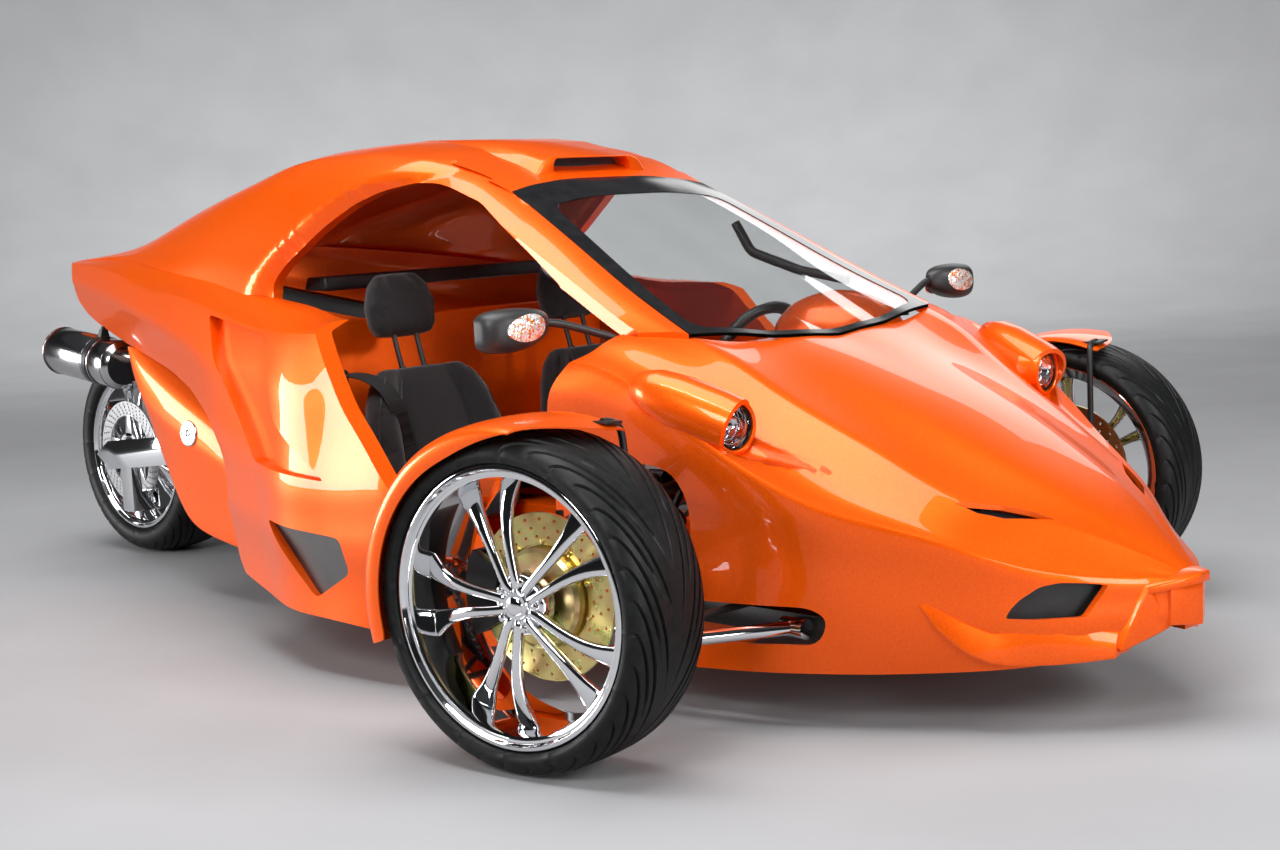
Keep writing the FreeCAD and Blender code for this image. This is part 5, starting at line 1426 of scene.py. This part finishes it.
def seatBelt(tree, side, word):
    points, across = [], []
    for y, z in belt['path']:
        start = Vector((0.6, side * y, z + 0.10))
        hit, normal = tree.ray_cast(start, Vector((-1, 0, -0.20)))[:2]
        if hit is not None:
            points.append(tuple(hit + normal * 0.004 + Vector((0.004, side * seat['middle'], 0))))
            across.append(Vector((0.0, 1.0, -0.18 * side)))
    top = Vector(points[0])
    points = [tuple(top + Vector((x, side * y, z))) for x, y, z in belt['behind']] + points
    across = [Vector((0.15, 1.0, -0.12 * side))] * len(belt['behind']) + across
    strap = strapPiece('seatBelt' + word, points, across)
    onChassis(strap, beltWebbing, 'seat_belts')
    beltBlock('beltBuckle' + word, points[-1], *buckle)
    beltBlock('beltAnchor' + word, points[0], *anchor)


# mufflers with their bands, clamps and outlets

muffler = {'rear': (-1.676, 0.336, 0.678), 'front': (-1.318, 0.336, 0.640)}


def exhaustCans():
    start, end = Vector(muffler['rear']), Vector(muffler['front'])
    long = (end - start).length
    place = alongAxis(start, end)
    profile = [(0, 0.016), (0.028, 0.016), (0.029, 0.010), (0.052, 0.010), (0.064, 0.004), (0.070, 0.006),
               (0.0725, 0.012), (0.0725, 0.232), (0.0700, 0.236), (0.0700, 0.250), (0.0725, 0.254),
               (0.0725, long * 0.94), (0.0700, long * 0.965), (0.058, long), (0, long)]
    can = turnedPiece('mufflerCan', profile, start, end, 80)
    profile = [(0.0715, 0.236), (0.0742, 0.236), (0.0748, 0.239), (0.0748, 0.252), (0.0742, 0.255),
               (0.0715, 0.255)]
    band = turnedPiece('mufflerBand', profile, start, end, 80)
    rings = []
    for a in (0.010, 0.224, 0.262, long * 0.93):
        profile = [(0.0720, a), (0.0738, a), (0.0742, a + 0.002), (0.0738, a + 0.004), (0.0720, a + 0.004)]
        rings.append(turnedPiece('ring', profile, start, end, 80))
    profile = [(0.0165, -0.016), (0.0195, -0.016), (0.0200, -0.012), (0.0200, 0.012), (0.0160, 0.012)]
    outlet = turnedPiece('mufflerOutlet', profile, start, end, 40)
    bracket = hullPiece('bracket', [tuple(place @ Vector(p)) for p in (
        (-0.016, 0.070, 0.236), (0.016, 0.070, 0.236), (-0.016, 0.070, 0.254), (0.016, 0.070, 0.254),
        (-0.010, 0.096, 0.238), (0.010, 0.096, 0.238), (-0.010, 0.096, 0.252), (0.010, 0.096, 0.252))])
    bolt = boltHead('bracketBolt', place @ Vector((0, 0.100, 0.245)), (0, 0, 1), 0.008)
    for piece in [can, band, outlet, bolt] + rings:
        smooth(piece)
    steel = join('mufflerCan', [can] + rings)
    dark = join('mufflerBand', [band, outlet, bracket, bolt])
    pairOn(steel, mufflerSteel, 'mufflers')
    pairOn(dark, satinBlack)


shelf = mm(((-310, 400, 872), (-240, 385, 905), (-235, 385, 874), (-350, 360, 902), (-240, 370, 868)))


def rearShelf():  # black shelf behind the seats
    piece = hullPiece('rearShelf', [(x, y * side, z) for x, y, z in shelf for side in (1, -1)])
    onChassis(smooth(easeEdges(piece, 0.004, 3, 25)), blackPlastic)


# coil springs round the dampers

spring = {'low': (1.090, 0.672, 0.232), 'high': (1.052, 0.470, 0.432), 'radius': 0.030, 'wire': 0.0048,
          'turns': 8, 'steps': 12}


def coilSprings():
    start, end = Vector(spring['low']), Vector(spring['high'])
    long = (end - start).length
    place = alongAxis(start, end)
    count = spring['turns'] * spring['steps']
    path = []
    for k in range(count + 1):
        turn = math.tau * k / spring['steps']
        x, y = spring['radius'] * math.cos(turn), spring['radius'] * math.sin(turn)
        path.append(tuple(place @ Vector((x, y, long * k / count))))
    pairOn(smooth(tubePiece('coilSpring', path, spring['wire'], 8), 50), satinBlack)


# CAD nodes whose edges are eased here, in a copy that takes their place

eased = (('cockpit_tub', 'chassis', 'body_paint', orange, 0.006),
         ('swing_arm', 'chassis', 'chrome', chrome, 0.003),
         ('caliper_right', 'knuckle_right', 'black_steel', satinBlack, 0.004),
         ('caliper_left', 'knuckle_left', 'black_steel', satinBlack, 0.004),
         ('frame', 'chassis', 'frame_paint', satinBlack, 0.0015),
         ('lower_arms', 'chassis', 'chrome', chrome, 0.002),
         ('tail_fascia', 'chassis', 'body_paint', orange, 0.002),
         ('engine_block', 'chassis', 'engine_alloy', engineMetal, 0.006))


def easedCopy(node, body, slot, material, width):
    piece = outward(copyOf(nodes[node], node.replace('_', ' ').title().replace(' ', '')))
    modify(piece, 'DECIMATE', decimate_type='DISSOLVE', angle_limit=math.radians(0.5))
    smooth(easeEdges(piece, width))
    fixedOn(piece, body, material, node)


headlamps(frontBody())
print('front body and lamps done')
frontLip()
roofBody()
windscreen()
screenBorder()
roofScoop()
print('roof and screen done')
sidePanel()
print('side panels done')
frontWheels()
rearWheelPieces()
frontFenders()
print('wheels and fenders done')
sideFins()
fuelCap()
meshes()
doorMirrors()
seats()
print('seats done')
exhaustCans()
rearShelf()
coilSprings()
for row in eased:
    easedCopy(*row)
print('fittings done')

carried = {  # nodes that stay as the CAD gives them
    'dashboard': orange, 'tail_lamps': redLens, 'grab_handles': blackPlastic, 'upper_arms': satinBlack,
    'dampers': satinBlack, 'steering_column': satinBlack, 'steering_wheel': blackPlastic,
    'tie_rods': satinBlack, 'knuckle_right': castSteel, 'knuckle_left': castSteel,
    'exhaust_pipes': pipeSteel}
for name, finish in carried.items():
    mesh = nodes[name].data
    mesh.materials.clear()
    mesh.materials.append(finish)
print('carried finishes set')


# studio

# 'dark' is the grey of the painted shade on the studio shell
studio = {'floorColour': (0.29, 0.292, 0.300), 'dark': 0.08, 'radius': 14.5, 'fillet': 5.0, 'height': 9.0,
          'skyColour': (0.86, 0.88, 0.90, 1), 'skyStrength': 0.06, 'steps': 64, 'filletSteps': 12}
# where the shell is painted dark as painted shade: a way from the middle, and the distances at which the dark
# starts and is full
shades = (((0.714, 0.700, 0), (7.6, 10.5)), ((-0.714, -0.700, 0), (7.6, 10.5)),
          ((0.700, -0.714, 0), (4.2, 7.0)), ((0, 0, 1), (3.2, 5.2)))
lights = (  # name, place, target, width, height, watts, spread in degrees
    ('overhead', (0.2, -0.8, 5.8), (0, 0, 0), 6.0, 4.2, 480, 180),
    ('keySide', (2.6, -5.8, 3.6), (0.4, 0, 0.5), 2.4, 1.8, 240, 180),
    ('noseSide', (6.4, 1.8, 3.4), (0.8, 0, 0.4), 2.4, 1.8, 230, 180),
    ('tailSide', (-4.8, -4.4, 1.1), (-0.6, -0.4, 0.6), 2.8, 2.0, 300, 180),
    ('farSide', (-1.5, 6.2, 3.6), (0, 0, 0.6), 3.4, 2.2, 60, 180),
    ('frontLow', (5.4, -1.2, 1.0), (1.7, -0.3, 0.3), 1.6, 1.0, 60, 180),
    ('edgeStrip', (1.2, -2.2, 4.4), (1.0, 0, 0.5), 2.6, 0.16, 60, 180),
    ('backWashLeft', (-7.4, 4.4, 6.4), (-11.2, 6.2, -1.0), 4.0, 3.0, 330, 130),
    ('backWashRight', (-4.2, 7.6, 6.4), (-6.0, 11.4, -1.0), 4.0, 3.0, 330, 130))


def shadeAway(material):  # painted shade: the studio's colour darkens beside and above the backdrop and behind the camera
    place = addNode(material, 'TexCoord')
    edges = []
    for way, reach in shades:
        across = addNode(material, 'VectorMath', operation='DOT_PRODUCT')
        across.inputs[1].default_value = way
        wire(material, place, 'Object', across, 0)
        spread = addNode(material, 'MapRange', interpolation_type='SMOOTHSTEP',
                         From_Min=reach[0], From_Max=reach[1])
        wire(material, across, 'Value', spread, 'Value')
        edges.append(spread.outputs['Result'])
    links = material.node_tree.links
    darkest = edges[0]
    for edge in edges[1:]:
        both = addNode(material, 'Math', operation='MAXIMUM')
        links.new(darkest, both.inputs[0])
        links.new(edge, both.inputs[1])
        darkest = both.outputs[0]
    entry = shaderOf(material).inputs['Base Color']
    mix = addNode(material, 'Mix', data_type='RGBA')
    # the grey of the painted shade
    mix.inputs[7].default_value = (studio['dark'], studio['dark'], studio['dark'], 1)
    links.new(darkest, mix.inputs[0])
    links.new(entry.links[0].from_socket, mix.inputs[6])
    links.new(mix.outputs[2], entry)


def studioShell():
    wide, fillet = studio['radius'], studio['fillet']
    profile = [(0.0, 0.0), (2.0, 0.0), (4.0, 0.0), (wide - fillet, 0.0)]
    for k in range(1, studio['filletSteps'] + 1):
        turn = math.radians(90 * k / studio['filletSteps'])
        profile.append((wide - fillet * (1 - math.sin(turn)), fillet * (1 - math.cos(turn))))
    profile.append((wide, studio['height']))
    turns = [math.tau * k / studio['steps'] for k in range(studio['steps'] + 1)]
    rows = [[(r * math.cos(a), r * math.sin(a), z) for r, z in profile] for a in turns]
    shell = gridPiece('studioShell', rows)
    editAll(shell)
    bpy.ops.mesh.remove_doubles(threshold=0.0001)
    leaveFacing(inside=True)
    smooth(shell, 60)
    base = studio['floorColour']
    material = newFinish('studioFloor', base, roughness=0.75, specular=0.2)
    dress(material, 'Noise', 1.6, ((0.3, times(base, 0.94)), (0.7, times(base, 1.03))), Detail=8.0)
    shadeAway(material)
    shell.data.materials.clear()
    shell.data.materials.append(material)


def softBox(name, place, target, width, height, power, spread):
    light = bpy.data.lights.new(name, 'AREA')
    light.shape = 'RECTANGLE'
    light.size = width
    light.size_y = height
    light.energy = power
    light.spread = math.radians(spread)
    holder = bpy.data.objects.new(name, light)
    bpy.context.collection.objects.link(holder)
    holder.location = place
    holder.rotation_euler = (Vector(target) - Vector(place)).to_track_quat('-Z', 'Y').to_euler()


def studioLights():
    for row in lights:
        softBox(*row)
    world = bpy.data.worlds.new('studioSky')
    bpy.context.scene.world = world
    world.use_nodes = True
    sky = world.node_tree.nodes['Background']
    sky.inputs['Color'].default_value = studio['skyColour']
    sky.inputs['Strength'].default_value = studio['skyStrength']


view = {'place': (3.86653, -3.44093, 1.09454), 'yaw': 134.46299, 'pitch': -6.86495, 'roll': -2.65850,
        'lens': 55.308}


def photoCamera():
    yaw, pitch, roll = (math.radians(view[k]) for k in ('yaw', 'pitch', 'roll'))
    look = Vector((math.cos(yaw) * math.cos(pitch), math.sin(yaw) * math.cos(pitch), math.sin(pitch)))
    side = look.cross(Vector((0, 0, 1))).normalized()
    head = side.cross(look)
    across = side * math.cos(roll) + head * math.sin(roll)
    upward = head * math.cos(roll) - side * math.sin(roll)
    camera = bpy.data.cameras.new('photoCamera')
    camera.lens = view['lens']
    camera.sensor_width = 36
    camera.sensor_fit = 'HORIZONTAL'
    holder = bpy.data.objects.new('photoCamera', camera)
    bpy.context.collection.objects.link(holder)
    turn = Matrix((across, upward, -look)).transposed().to_4x4()
    holder.matrix_world = Matrix.Translation(Vector(view['place'])) @ turn
    bpy.context.scene.camera = holder


bpy.context.scene.view_settings.view_transform = 'Standard'
studioShell()
studioLights()
photoCamera()
print('studio done')
